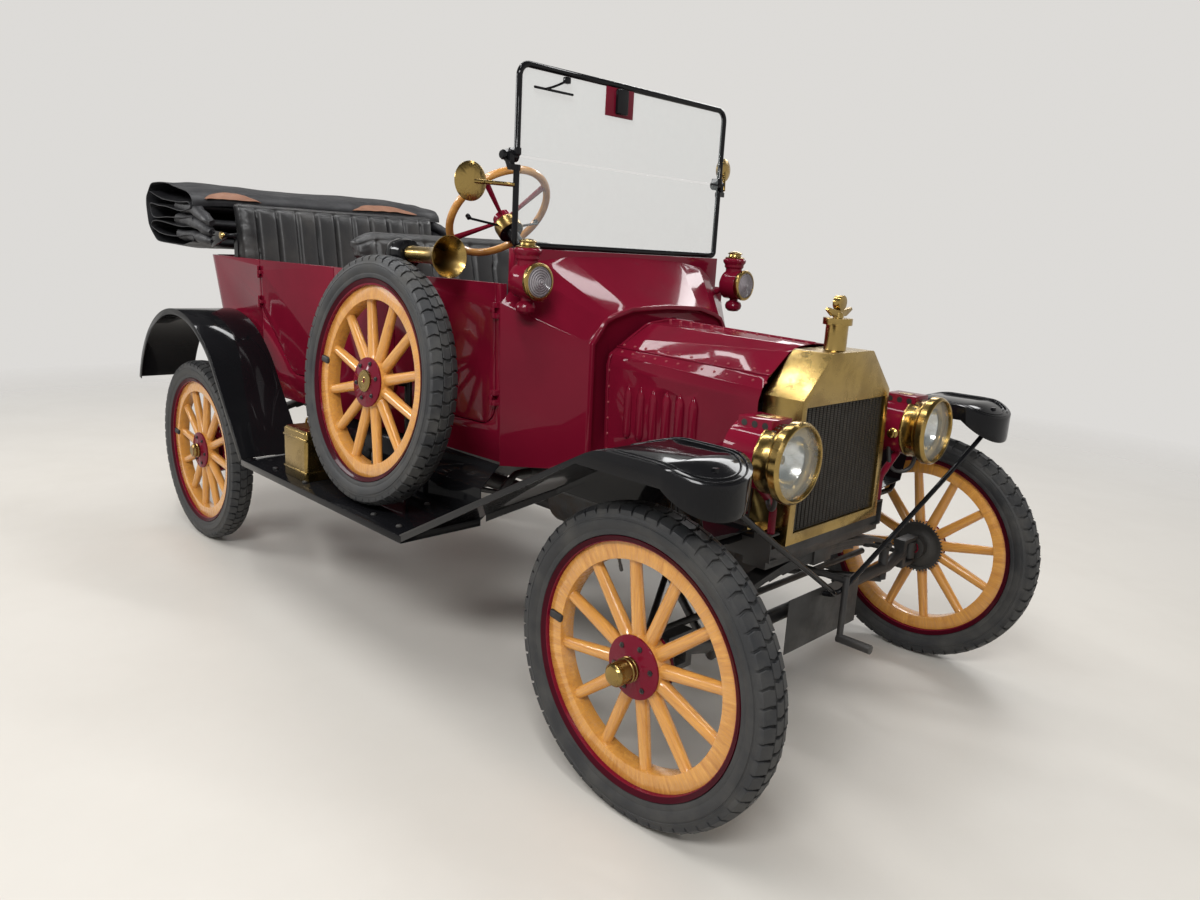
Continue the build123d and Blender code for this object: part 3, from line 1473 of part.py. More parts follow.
with BuildPart() as upper_glass:
    glass_top = screen_top - screen_tube - seat_gap
    block(screen_x - half_glass, screen_x + half_glass, -glass_half, glass_half, screen_middle + 3, glass_top)
    fillet(upper_glass.edges().filter_by(Axis.X).group_by(Axis.Z)[-1], radius=screen_corner - screen_tube)
save(upper_glass.part, "screen_glass_upper")

# Steering column, gear case, spider and rim
wheel_normal = -column_forward
wheel_up = (sin(radians(steering_rake)), 0, cos(radians(steering_rake)))
steer_plane = wheel_plane(tuple(column_top), tuple(wheel_normal), wheel_up)
case_top = column_top + column_forward * 50
case_end = case_top + column_forward * gear_case_length
bracket_centre = column_top + column_forward * ((steering_z - rail_top - 5) / sin(radians(steering_rake)))
with BuildPart() as column:
    rod(tuple(case_top), tuple(case_end), gear_case_radius)
    rod(tuple(case_top), tuple(column_foot - column_forward * (2 + seat_gap)), column_radius)
    for lever_side in (-1, 1):
        lever_root = case_top + column_forward * lever_drop
        lever_knee = lever_root + Vector(0, lever_side * (gear_case_radius + 12), 0)
        lever_tip = lever_knee + Vector(0, lever_side * lever_reach, 0) - column_forward * lever_rise
        rod(tuple(lever_root), tuple(lever_knee), lever_radius)
        rod(tuple(lever_knee - Vector(0, lever_side * 2, 0)), tuple(lever_tip), lever_radius)
        rod(tuple(lever_tip), tuple(lever_tip - column_forward * 14), lever_radius * 2)
    block(
        bracket_centre.X - 25,
        bracket_centre.X + 25,
        4 - rail_half_width,
        steering_y,
        rail_top + seat_gap,
        rail_top + 8,
    )
save(column.part, "steering_column")

with BuildPart() as rim:
    with BuildSketch(steer_plane) as rim_section:
        with Locations((steering_rim_radius, 0)):
            Circle(steering_rim_section)
    revolve(rim_section.sketch, axis=Axis(steer_plane.origin, steer_plane.y_dir))
save(rim.part, "steering_rim")

with BuildPart() as spider:
    hub_top = column_top + column_forward * 20
    hub_low = case_top - column_forward * seat_gap
    rod(tuple(hub_top), tuple(hub_low), 32)
    axis = Axis(steer_plane.origin, steer_plane.y_dir)
    for quarter in range(4):
        direction = steer_plane.x_dir.rotate(axis, 45 + quarter * 90)
        start = column_top + column_forward * 34 + direction * 20
        end = column_top + direction * (steering_rim_radius - steering_rim_section - 0.9)
        rod(tuple(start), tuple(end), 6)
save(spider.part, "steering_spider")

# Lamps: bodies, brass rims and lenses, the headlamps first
with BuildPart() as lamp_bodies:
    for side in (-1, 1):
        lamp = wheel_plane((front_axle_x + headlamp_ahead, side * headlamp_y, headlamp_z), (1, 0, 0))
        drum = [
            (0, -headlamp_length),
            (headlamp_drum - 30, -headlamp_length),
            (headlamp_drum, 20 - headlamp_length),
            (headlamp_drum, -22),
            (0, -22),
        ]
        turned(drum, lamp)
        chimney_x = front_axle_x + headlamp_ahead - 100
        block(
            chimney_x - 48,
            chimney_x + 48,
            side * headlamp_y - 42,
            side * headlamp_y + 42,
            headlamp_z + 50,
            headlamp_z + headlamp_drum + 12,
        )
        post = [
            (front_axle_x + 33, side * (rail_half_width - 14), rail_top + seat_gap),
            (front_axle_x + 33, side * (rail_half_width - 14), rail_top + 70),
            (front_axle_x + 40, side * headlamp_y, headlamp_z - headlamp_drum + 8),
        ]
        bent_rod(post, 10, 30)
        small = wheel_plane((behind(side_lamp_behind), side * side_lamp_y, side_lamp_z), (1, 0, 0))
        small_drum = [
            (0, -side_lamp_length),
            (side_lamp_drum - 16, -side_lamp_length),
            (side_lamp_drum, 14 - side_lamp_length),
            (side_lamp_drum, -14),
            (0, -14),
        ]
        turned(small_drum, small)
        lamp_x = behind(side_lamp_behind) - side_lamp_length * 0.6
        lamp_y = side * side_lamp_y
        font_x = lamp_x + 6
        font_y = lamp_y + side * 6
        chimney = [
            (0, 30),
            (29, 30),
            (29, 56),
            (34, 62),
            (34, 70),
            (40, 78),
            (41, 86),
            (34, 92),
            (22, 94),
            (20, 104),
            (14, 112),
            (0, 112),
        ]
        turned(chimney, wheel_plane((lamp_x, lamp_y, side_lamp_z), (0, 0, 1), (1, 0, 0)))
        font = [
            (0, -96),
            (font_radius * 0.6, -93),
            (font_radius * 0.92, -84),
            (font_radius, -73),
            (font_radius * 0.86, -62),
            (font_radius * 0.5, -55),
            (font_radius * 0.5, -40),
            (0, -40),
        ]
        turned(font, wheel_plane((font_x, font_y, side_lamp_z), (0, 0, 1), (1, 0, 0)))
        # arm square to the cowl's bevel
        low_front = Vector(cowl_front_x, side * cowl_front_half[1][0], cowl_front_half[1][1])
        high_front = Vector(cowl_front_x, side * cowl_front_half[2][0], cowl_front_half[2][1])
        low_rear = Vector(cowl_rear_x, side * cowl_rear_half[1][0], cowl_rear_half[1][1])
        high_rear = Vector(cowl_rear_x, side * cowl_rear_half[2][0], cowl_rear_half[2][1])
        bevel_middle = (low_front + high_front + low_rear + high_rear) * 0.25
        inward = (low_rear - high_front).cross(high_rear - low_front).normalized() * -side
        lamp_centre = Vector(lamp_x, lamp_y, side_lamp_z)
        reach = (bevel_middle - lamp_centre).dot(inward)
        rod(tuple(lamp_centre), tuple(lamp_centre + inward * (reach - lamp_arm_gap)), 10)
save(lamp_bodies.part, "lamp_bodies")

with BuildPart() as lamp_rims:
    for side in (-1, 1):
        lamp = wheel_plane((front_axle_x + headlamp_ahead, side * headlamp_y, headlamp_z), (1, 0, 0))
        rim_points = [
            (headlamp_drum - 20, seat_gap - 22),
            (headlamp_drum + 4, seat_gap - 22),
            (headlamp_rim, -12),
            (headlamp_rim, 4),
            (headlamp_lens, 10),
            (headlamp_lens, -8),
            (headlamp_drum - 20, -8),
        ]
        turned(rim_points, lamp)
        small = wheel_plane((behind(side_lamp_behind), side * side_lamp_y, side_lamp_z), (1, 0, 0))
        small_points = [
            (side_lamp_drum - 14, seat_gap - 14),
            (side_lamp_drum + 1, seat_gap - 14),
            (side_lamp_rim, -6),
            (side_lamp_rim, 2),
            (side_lamp_lens, 6),
            (side_lamp_lens, -6),
            (side_lamp_drum - 14, -6),
        ]
        turned(small_points, small)
save(lamp_rims.part, "lamp_rims")

with BuildPart() as lenses:
    for side in (-1, 1):
        lamp = wheel_plane((front_axle_x + headlamp_ahead, side * headlamp_y, headlamp_z), (1, 0, 0))
        lens = headlamp_lens - seat_gap
        turned([(0, seat_gap - 8), (lens, seat_gap - 8), (lens, 4), (lens * 0.6, 9), (0, 11)], lamp)
        small = wheel_plane((behind(side_lamp_behind), side * side_lamp_y, side_lamp_z), (1, 0, 0))
        lens = side_lamp_lens - seat_gap
        turned([(0, seat_gap - 6), (lens, seat_gap - 6), (lens, 3), (lens * 0.6, 9), (0, 11)], small)
save(lenses.part, "lamp_lenses")

# Horn on an iron from the body's top edge
horn_x = behind(horn_mouth_behind)
horn_foot_behind = 1380.0
with BuildPart() as horn:
    horn_plane = wheel_plane((horn_x, horn_y, horn_z), (1, 0, 0))
    bell = [
        (0, -horn_length - horn_motor_length),
        (horn_motor_radius, -horn_length - horn_motor_length),
        (horn_motor_radius, -horn_length),
        (26, -horn_length),
        (22, -horn_length * 0.4),
        (34, -30),
        (horn_mouth_radius, 0),
        (horn_mouth_radius - 3, 0),
        (30, -32),
        (16, -horn_length * 0.4),
        (0, -horn_length * 0.5),
    ]
    turned(bell, horn_plane)
    foot_y = -(body_half(horn_foot_behind) - body_wall / 2)
    horn_route = [
        (behind(horn_foot_behind), foot_y, body_top + seat_gap),
        (behind(horn_foot_behind), foot_y, body_top + 45),
        (horn_x - horn_length - horn_motor_length - 50, horn_y, horn_z),
        (horn_x - horn_length - horn_motor_length + 4, horn_y, horn_z),
    ]
    bent_rod(horn_route, 7, 14)
save(horn.part, "horn")

# Brass fuel can on the right running board
with BuildPart() as can:
    can_rear_x = behind(can_front_behind + can_length)
    can_outer_y = -fender_outer + 44
    block(
        can_rear_x,
        can_rear_x + can_length,
        can_outer_y,
        can_outer_y + can_width,
        board_top + seat_gap,
        board_top + can_height,
    )
    fillet(can.edges().filter_by(Axis.Z), radius=12)
    chamfer(can.faces().sort_by(Axis.Z)[-1].edges(), length=8)
    can_x = can_rear_x + can_length * 0.7
    can_y = can_outer_y + can_width / 2
    rod((can_x, can_y, board_top + can_height - 1), (can_x, can_y, board_top + can_height + 18), 18)
save(can.part, "brass_can")

# Mirrors on the screen's posts
left_mirror_radius = 40.0
left_mirror_y = 530.0
left_mirror_z = 1610.0
mirror_back = 34.0
with BuildPart() as mirrors:
    mirror_x = screen_x - mirror_back
    right_y = -(screen_half + mirror_out)
    disc = [
        (0, -7),
        (mirror_radius - 4, -7),
        (mirror_radius, -2),
        (mirror_radius, 0),
        (mirror_radius * 0.6, 8),
        (0, 12),
    ]
    turned(disc, wheel_plane((mirror_x, right_y, mirror_z), (1, 0, 0)))
    rod((mirror_x + 4, right_y, mirror_z), (mirror_x + 20, right_y + 30, mirror_z), 6)
    rod(
        (mirror_x + 20, right_y + 30, mirror_z),
        (screen_x, -(screen_half + screen_tube + seat_gap), mirror_z),
        6,
    )
    ratio = left_mirror_radius / mirror_radius
    left_disc = [(radius * ratio, outward) for radius, outward in disc]
    turned(left_disc, wheel_plane((mirror_x, left_mirror_y, left_mirror_z), (1, 0, 0)))
    rod(
        (mirror_x + 4, left_mirror_y, left_mirror_z),
        (screen_x, hinge_outer + screen_hinge_length + 5 + seat_gap, screen_middle - 16),
        5,
    )
save(mirrors.part, "mirrors")
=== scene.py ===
import json
from math import cos, exp, pi, radians, sin, sqrt

import bpy
from mathutils import Matrix, Vector, noise

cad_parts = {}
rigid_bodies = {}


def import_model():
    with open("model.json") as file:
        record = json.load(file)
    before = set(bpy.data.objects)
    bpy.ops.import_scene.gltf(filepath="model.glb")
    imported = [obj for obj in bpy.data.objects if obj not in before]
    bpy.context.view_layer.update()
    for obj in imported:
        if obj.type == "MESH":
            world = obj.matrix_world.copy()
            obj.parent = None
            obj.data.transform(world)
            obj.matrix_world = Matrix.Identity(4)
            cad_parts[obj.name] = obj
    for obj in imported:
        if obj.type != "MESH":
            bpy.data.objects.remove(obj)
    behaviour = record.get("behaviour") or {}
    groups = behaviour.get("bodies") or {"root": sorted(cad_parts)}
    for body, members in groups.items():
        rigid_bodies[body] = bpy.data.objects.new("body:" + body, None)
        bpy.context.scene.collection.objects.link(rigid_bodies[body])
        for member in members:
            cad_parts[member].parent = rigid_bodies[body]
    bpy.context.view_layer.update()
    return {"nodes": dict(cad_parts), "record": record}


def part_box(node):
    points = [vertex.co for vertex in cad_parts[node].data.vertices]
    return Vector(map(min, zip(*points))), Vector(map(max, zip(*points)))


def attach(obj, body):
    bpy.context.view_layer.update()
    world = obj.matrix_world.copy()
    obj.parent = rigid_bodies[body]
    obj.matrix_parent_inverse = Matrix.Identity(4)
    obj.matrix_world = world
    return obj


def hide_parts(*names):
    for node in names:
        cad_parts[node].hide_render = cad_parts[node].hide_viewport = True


# An open touring car of about 1915: brass radiator, wood wheels, maroon paint, hood folded.
# Metres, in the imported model's frame: +X forward, +Y to the car's left, +Z up.

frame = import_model()
nodes = frame["nodes"]
body_names = frame["record"]["behaviour"]["bodies"]
body_of = {node: body for body, names in body_names.items() for node in names}

# Camera, solved from the photograph's wheels
photo_width = 1200
photo_focal = 872.7
camera_place = Vector((2.6635, -2.115, 1.305))
camera_yaw = radians(134.59)
camera_pitch = radians(-12.9)
camera_roll = radians(3.15)

# Places that the solids also have
wheel_radius = 0.381
tyre_half_width = 0.046
front_axle_x = 1.4495
rear_axle_x = -1.0905
wheel_y = 0.711
spare_centre = Vector((0.3065, -0.723, 0.8764))
spare_lean = radians(5.6)
headlamp_x, headlamp_y, headlamp_z = 1.5905, 0.365, 0.840
side_lamp_x, side_lamp_y, side_lamp_z = 0.7805, 0.484, 1.208
hands = (("right", -1), ("left", 1))


def clear_selection():
    if bpy.context.mode != "OBJECT":
        bpy.ops.object.mode_set(mode="OBJECT")
    bpy.ops.object.select_all(action="DESELECT")


def pick(*objects):
    clear_selection()
    for item in objects:
        item.select_set(True)
    bpy.context.view_layer.objects.active = objects[0]
    return objects[0]


def settle(piece):
    # the place goes into the mesh
    pick(piece)
    bpy.ops.object.transform_apply(location=True, rotation=True, scale=True)
    return piece


def open_mesh(piece):
    # into edit mode with everything selected
    pick(piece)
    bpy.ops.object.mode_set(mode="EDIT")
    bpy.ops.mesh.select_all(action="SELECT")


def close_mesh():
    bpy.ops.object.mode_set(mode="OBJECT")


def twin_of(piece):
    pick(piece)
    bpy.ops.object.duplicate()
    return bpy.context.object


def joined(*parts):
    pick(*parts)
    bpy.ops.object.join()
    return bpy.context.object


def use_modifier(piece, kind, **settings):
    # adds a modifier and applies it
    pick(piece)
    modifier = piece.modifiers.new(kind.title(), kind)
    for key, value in settings.items():
        setattr(modifier, key, value)
    bpy.ops.object.modifier_apply(modifier=modifier.name)


def smooth(piece, angle=35):
    pick(piece)
    bpy.ops.object.shade_smooth_by_angle(angle=radians(angle))


def face_out(piece):
    # merges doubles and turns the faces outwards
    open_mesh(piece)
    bpy.ops.mesh.remove_doubles(threshold=0.00002)
    bpy.ops.mesh.normals_make_consistent(inside=False)
    close_mesh()


def copies(piece, places):
    # one mesh that repeats a piece by a list of matrices, the piece itself left out
    made = []
    for place in places:
        made.append(twin_of(piece))
        made[-1].matrix_world = place @ piece.matrix_world
    bpy.data.objects.remove(piece)
    return settle(joined(*made))


def place_piece(piece, name, finish, body="chassis"):
    piece.name = name
    piece.data.name = name
    piece.data.materials.clear()
    piece.data.materials.append(finish)
    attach(piece, body)
    return piece


def along(centre, outward, upward=(0, 0, 1)):
    # local z is outward and local x upward at a centre
    z_axis = Vector(outward).normalized()
    x_axis = Vector(upward).normalized()
    y_axis = z_axis.cross(x_axis).normalized()
    x_axis = y_axis.cross(z_axis)
    turn = Matrix((x_axis, y_axis, z_axis)).transposed().to_4x4()
    return Matrix.Translation(Vector(centre)) @ turn


def spin(degrees, axis="Z"):
    return Matrix.Rotation(radians(degrees), 4, axis)


def mm(*points):
    # points given in millimetres
    return [tuple(part / 1000 for part in point) for point in points]


def lathe(profile, place=Matrix(), steps=48):
    # profile of (radius, outward) turned about the local z axis
    clear_selection()
    bpy.ops.mesh.primitive_plane_add(size=0.001)
    piece = bpy.context.object
    bpy.ops.object.mode_set(mode="EDIT")
    bpy.ops.mesh.merge(type="CENTER")
    bpy.ops.transform.translate(value=(profile[0][0], 0, profile[0][1]))
    for (radius, height), (far_radius, far_height) in zip(profile, profile[1:]):
        step = (far_radius - radius, 0, far_height - height)
        bpy.ops.mesh.extrude_region_move(TRANSFORM_OT_translate={"value": step})
    bpy.ops.mesh.select_all(action="SELECT")
    bpy.ops.mesh.spin(steps=steps, angle=2 * pi, center=(0, 0, 0), axis=(0, 0, 1))
    close_mesh()
    face_out(piece)
    piece.matrix_world = place
    return settle(piece)


def turned(name, finish, profile, place, steps=48, angle=40, body="chassis"):
    # a lathed piece at one place, or its copies at a list of places
    if isinstance(place, list):
        piece = copies(lathe(profile, steps=steps), place)
    else:
        piece = lathe(profile, place, steps)
    smooth(piece, angle)
    return place_piece(piece, name, finish, body)


def pipe(points, radius, closed=False, smoothing=4, sides=3):
    # a round bar or cord along points
    clear_selection()
    line = bpy.data.curves.new("line", "CURVE")
    line.dimensions = "3D"
    line.bevel_depth = radius
    line.bevel_resolution = sides
    line.use_fill_caps = not closed
    spline = line.splines.new("NURBS")
    spline.points.add(len(points) - 1)
    for knot, point in zip(spline.points, points):
        knot.co = (*point, 1)
    spline.order_u = min(3, len(points))
    spline.use_endpoint_u = not closed
    spline.use_cyclic_u = closed
    spline.resolution_u = smoothing
    piece = bpy.data.objects.new("line", line)
    bpy.context.collection.objects.link(piece)
    pick(piece)
    bpy.ops.object.convert(target="MESH")
    piece = bpy.context.object
    face_out(piece)
    smooth(piece, 50)
    return piece


def brick(centre, size, edge=0.001, segments=2):
    # a block with rounded edges
    clear_selection()
    bpy.ops.mesh.primitive_cube_add(size=1, location=centre, scale=size)
    piece = settle(bpy.context.object)
    use_modifier(piece, "BEVEL", width=edge, segments=segments)
    smooth(piece, 40)
    return piece


def node_copy(node):
    # a free copy of a node's own shape, left open in edit mode with its doubles merged
    piece = twin_of(nodes[node])
    bpy.ops.object.parent_clear(type="CLEAR_KEEP_TRANSFORM")
    open_mesh(piece)
    bpy.ops.mesh.remove_doubles(threshold=0.00005)
    return piece


def refined(node, finish, edge):
    # the node's own shape with its sharp edges rounded
    piece = node_copy(node)
    bpy.ops.mesh.dissolve_limited(angle_limit=radians(0.6))
    close_mesh()
    if edge > 0:
        use_modifier(piece, "BEVEL", width=edge, segments=2, limit_method="ANGLE", angle_limit=radians(32))
    smooth(piece, 32)
    place_piece(piece, node + "_skin", finish, body_of[node])
    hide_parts(node)
    return piece


# Materials


class Amount:
    """A number in a material, which adds Math nodes as it is used."""

    def __init__(self, finish, socket):
        self.finish = finish
        self.socket = socket

    def __add__(self, other):
        return self.finish.maths("ADD", self, other)

    def __sub__(self, other):
        return self.finish.maths("SUBTRACT", self, other)

    def __mul__(self, other):
        return self.finish.maths("MULTIPLY", self, other)


class Finish:
    """A procedural material on object coordinates."""

    def __init__(self, name):
        self.material = bpy.data.materials.new(name)
        self.material.use_nodes = True
        self.tree = self.material.node_tree
        self.shader = self.tree.nodes["Principled BSDF"]
        self.place = self.node("ShaderNodeTexCoord").outputs["Object"]

    def node(self, kind, settings=None, sockets=None):
        made = self.tree.nodes.new(kind)
        for key, value in (settings or {}).items():
            setattr(made, key, value)
        for key, value in (sockets or {}).items():
            self.feed(made.inputs[key], value)
        return made

    def feed(self, socket, value):
        if isinstance(value, Amount):
            value = value.socket
        if isinstance(value, bpy.types.NodeSocket):
            self.tree.links.new(value, socket)
        else:
            socket.default_value = value

    def maths(self, operation, first, second=0.0):
        made = self.node("ShaderNodeMath", {"operation": operation}, {0: first, 1: second})
        return Amount(self, made.outputs[0])

    def moved(self, scale=(1, 1, 1), turn=(0, 0, 0), shift=(0, 0, 0), place=None):
        sockets = {"Vector": place or self.place, "Scale": scale, "Rotation": turn, "Location": shift}
        return self.node("ShaderNodeMapping", None, sockets).outputs[0]

    def axes(self, place=None):
        made = self.node("ShaderNodeSeparateXYZ", None, {0: place or self.place})
        return [Amount(self, made.outputs[number]) for number in range(3)]

    def noise(self, scale, detail=3.0, rough=0.5, place=None, twist=0.0):
        sockets = {"Vector": place or self.place, "Scale": scale, "Detail": detail, "Roughness": rough,
                   "Distortion": twist}
        return Amount(self, self.node("ShaderNodeTexNoise", None, sockets).outputs[0])

    def cells(self, scale, place=None):
        made = self.node("ShaderNodeTexVoronoi", None, {"Vector": place or self.place, "Scale": scale})
        return Amount(self, made.outputs["Distance"])

    def stretch(self, value, low, high, out_low=0.0, out_high=1.0):
        sockets = {0: value, 1: low, 2: high, 3: out_low, 4: out_high}
        return Amount(self, self.node("ShaderNodeMapRange", None, sockets).outputs[0])

    def blend(self, share, first, second):
        # a colour is (red, green, blue) or another node's socket
        first, second = [(*shade, 1) if isinstance(shade, tuple) else shade for shade in (first, second)]
        made = self.node("ShaderNodeMix", {"data_type": "RGBA"}, {0: share, 6: first, 7: second})
        return made.outputs[2]

    def bump(self, height, strength=0.3, distance=0.001):
        sockets = {"Height": height, "Strength": strength, "Distance": distance}
        made = self.node("ShaderNodeBump", None, sockets)
        self.feed(self.shader.inputs["Normal"], made.outputs[0])

    def set(self, **values):
        for key, value in values.items():
            self.feed(self.shader.inputs[key.replace("_", " ")], value)
        return self.material


def paint_finish(name, base, dark, gloss=0.1, coat=0.32):
    # stove enamel: slight orange peel, dulled patches and fine dust
    look = Finish(name)
    patches = look.noise(3.0, 4)
    dust = look.stretch(look.noise(38.0, 5, 0.6), 0.5, 0.8)
    look.bump(look.noise(240.0, 2), 0.05, 0.0006)
    rough = look.stretch(patches, 0.3, 0.75, gloss, gloss + 0.1) + dust * 0.06
    return look.set(
        Base_Color=look.blend(look.stretch(patches, 0.35, 0.7), base, dark),
        Roughness=rough,
        Coat_Weight=coat,
        Coat_Roughness=0.04,
        Specular_IOR_Level=0.02,
    )


def chassis_finish(name="chassis_black"):
    # brushed black with road dust and grease
    look = Finish(name)
    grime = look.noise(14.0, 5, 0.65)
    dust = look.stretch(look.noise(5.0, 4), 0.45, 0.7)
    base = look.blend(grime, (0.008, 0.008, 0.009), (0.022, 0.021, 0.02))
    look.bump(look.noise(160.0, 4, 0.6), 0.25, 0.001)
    return look.set(
        Base_Color=look.blend(dust * 0.5, base, (0.05, 0.045, 0.038)),
        Roughness=look.stretch(grime, 0.3, 0.7, 0.32, 0.62),
    )


def brass_finish(name="brass", tone=0.66):
    # hand-polished brass with brown tarnish in patches
    look = Finish(name)
    tarnish = look.stretch(look.noise(9.0, 6, 0.62, twist=0.4), 0.46, 0.74)
    specks = look.stretch(look.noise(70.0, 3), 0.6, 0.75)
    bright = (0.56 * tone, 0.385 * tone, 0.13 * tone)
    dull = (0.3 * tone, 0.2 * tone, 0.075 * tone)
    scratch = look.noise(60.0, 2, place=look.moved(scale=(1, 1, 9)))
    look.bump(scratch, 0.06, 0.0005)
    return look.set(
        Base_Color=look.blend(tarnish * 0.75 + specks * 0.2, bright, dull),
        Metallic=1.0,
        Roughness=look.stretch(tarnish + specks * 0.4, 0.0, 1.2, 0.2, 0.46),
    )


def wood_finish(name, centre, lean=0.0):
    # varnished hickory, its grain out along the spokes and its rings on the felloe
    look = Finish(name)
    place = look.moved(turn=(lean, 0, 0), place=look.moved(shift=tuple(-part for part in centre)))
    across, deep, upward = look.axes(place)
    radius = look.maths("SQRT", across * across + upward * upward)
    angle = look.maths("ARCTAN2", upward, across)
    joined_up = look.node("ShaderNodeCombineXYZ", None, {0: radius * 2.2, 1: angle * 9.0, 2: deep * 26.0})
    grain = look.noise(4.2, 6, 0.62, place=joined_up.outputs[0], twist=0.35)
    pores = look.noise(24.0, 3, 0.6, place=joined_up.outputs[0])
    pale = (0.7, 0.345, 0.08)
    brown = (0.48, 0.2, 0.038)
    shade = look.blend(look.stretch(grain, 0.35, 0.68), pale, brown)
    look.bump(pores, 0.08, 0.0006)
    return look.set(
        Base_Color=look.blend(look.stretch(pores, 0.55, 0.75) * 0.35, shade, (0.34, 0.12, 0.02)),
        Roughness=look.stretch(grain, 0.3, 0.7, 0.2, 0.34),
        Coat_Weight=0.5,
        Coat_Roughness=0.08,
    )


def rim_wood_finish():
    # the steering wheel's rim
    look = Finish("rim_wood")
    grain = look.noise(26.0, 5, 0.6, place=look.moved(scale=(1, 0.35, 1)), twist=0.5)
    look.bump(grain, 0.06, 0.0005)
    return look.set(
        Base_Color=look.blend(look.stretch(grain, 0.35, 0.7), (0.66, 0.33, 0.08), (0.42, 0.17, 0.03)),
        Roughness=0.24,
        Coat_Weight=0.5,
        Coat_Roughness=0.06,
    )


def spotted_finish(name, spots, span, clean, dull, rough, bump=None, alpha=None, **more):
    # a plain finish that one noise spots, dulls and roughens
    look = Finish(name)
    share = look.stretch(look.noise(*spots), *span)
    if bump:
        grain, strength, depth = bump
        look.bump(look.noise(*grain), strength, depth)
    if alpha:
        more["Alpha"] = look.stretch(share, 0.0, 1.0, *alpha)
    shade = look.blend(share, clean, dull)
    return look.set(Base_Color=shade, Roughness=look.stretch(share, 0.0, 1.0, *rough), **more)


def leather_finish():
    # old black leather: pebbled grain, polished where it is sat on
    look = Finish("black_leather")
    pebble = look.cells(420.0)
    creases = look.noise(60.0, 5, 0.62, place=look.moved(scale=(1, 0.5, 1)), twist=0.6)
    wear = look.stretch(look.noise(7.0, 4), 0.45, 0.72)
    look.bump(pebble * 0.4 + creases * 0.9, 0.32, 0.0012)
    return look.set(
        Base_Color=look.blend(wear, (0.014, 0.014, 0.015), (0.036, 0.034, 0.032)),
        Roughness=look.stretch(creases, 0.3, 0.7, 0.34, 0.52),
    )


def cloth_finish(name, base, worn):
    # rubbed coated duck: weave showing through, greyed on the folds
    look = Finish(name)
    weave = look.cells(900.0, place=look.moved(scale=(1, 1.4, 1)))
    folds = look.noise(26.0, 5, 0.6, place=look.moved(scale=(1, 0.45, 1)), twist=0.8)
    wear = look.stretch(look.noise(12.0, 5, 0.65), 0.45, 0.75)
    look.bump(weave * 0.25 + folds * 1.1, 0.35, 0.0016)
    return look.set(
        Base_Color=look.blend(wear, base, worn),
        Roughness=look.stretch(folds, 0.3, 0.7, 0.46, 0.68),
        Specular_IOR_Level=0.4,
    )


def lens_finish():
    # clear lamp glass over a bright reflector
    look = Finish("lamp_glass")
    rings = look.noise(16.0, 3)
    return look.set(
        Base_Color=look.blend(rings, (0.62, 0.7, 0.7), (0.48, 0.56, 0.58)),
        Roughness=0.03,
        Alpha=look.stretch(rings, 0.3, 0.7, 0.12, 0.2),
        Coat_Weight=0.3,
    )


def core_finish():
    # radiator core: dark tubes behind closely set fins, the gaps between the fins darkened as painted shade
    look = Finish("radiator_core")
    across, deep, upward = look.axes()
    fins = look.maths("SINE", upward * (2 * pi / 0.0052))
    dirt = look.noise(30.0, 5, 0.6)
    look.bump(fins + dirt * 0.3, 0.5, 0.0015)
    # darker between the fins' crests: painted shade in the gaps, with dirt mixed in
    return look.set(
        Base_Color=look.blend(
            look.stretch(fins + dirt * 0.5, -0.2, 1.3), (0.006, 0.006, 0.006), (0.045, 0.038, 0.028)
        ),
        Metallic=0.4,
        Roughness=look.stretch(dirt, 0.3, 0.7, 0.42, 0.62),
    )


def ribbed_glass_finish():
    # pressed side lamp glass, faintly violet with age, with painted highlights and shade in rings at the ribs' pitch
    look = Finish("ribbed_glass")
    haze = look.stretch(look.noise(24.0, 4), 0.4, 0.75)
    deep, across, upward = look.axes(look.moved(shift=(0, 0, -side_lamp_z)))
    across = look.maths("ABSOLUTE", across) - side_lamp_y
    radius = look.maths("SQRT", across * across + upward * upward)
    # light and dark rings at the ribs' pitch: painted highlights and shade on the ribs
    rings = look.maths("SINE", radius * (2 * pi / 0.0069))
    return look.set(
        Base_Color=look.blend(
            look.stretch(rings + haze * 0.3, -0.7, 1.0), (0.10, 0.085, 0.10), (0.52, 0.48, 0.5)
        ),
        Roughness=0.05,
        Alpha=look.stretch(haze, 0.0, 1.0, 0.8, 0.86),
        Coat_Weight=0.6,
    )


maroon = paint_finish("maroon_paint", (0.165, 0.0055, 0.02), (0.125, 0.004, 0.0155))
rim_maroon = paint_finish("rim_maroon", (0.052, 0.003, 0.009), (0.036, 0.003, 0.007), 0.18, 0.12)
# the rivets are the bonnet's maroon made lighter: a painted highlight where their domes catch the light
rivet_painted_highlight = paint_finish("rivet_painted_highlight", (0.3, 0.06, 0.07), (0.22, 0.045, 0.055), 0.2, 0.12)
enamel = paint_finish("black_enamel", (0.005, 0.005, 0.006), (0.009, 0.009, 0.01), 0.08, 0.34)
chassis = chassis_finish()
brass = brass_finish()
old_brass = brass_finish("aged_brass", 0.56)
rubber = spotted_finish("tyre_rubber", (11.0, 5, 0.6), (0.42, 0.75), (0.022, 0.023, 0.025), (0.062, 0.06, 0.056),
                        (0.52, 0.78), ((300.0, 3), 0.22, 0.0008), Specular_IOR_Level=0.4)
leather = leather_finish()
hood_cloth = cloth_finish("hood_cloth", (0.009, 0.009, 0.011), (0.032, 0.032, 0.035))
lining_cloth = cloth_finish("hood_lining", (0.2, 0.085, 0.045), (0.27, 0.13, 0.075))
pane = spotted_finish("clear_glass", (9.0, 4), (0.45, 0.8), (0.6, 0.68, 0.68), (0.75, 0.78, 0.78), (0.02, 0.07),
                      alpha=(0.1, 0.15), Specular_IOR_Level=0.6)
lens_glass = lens_finish()
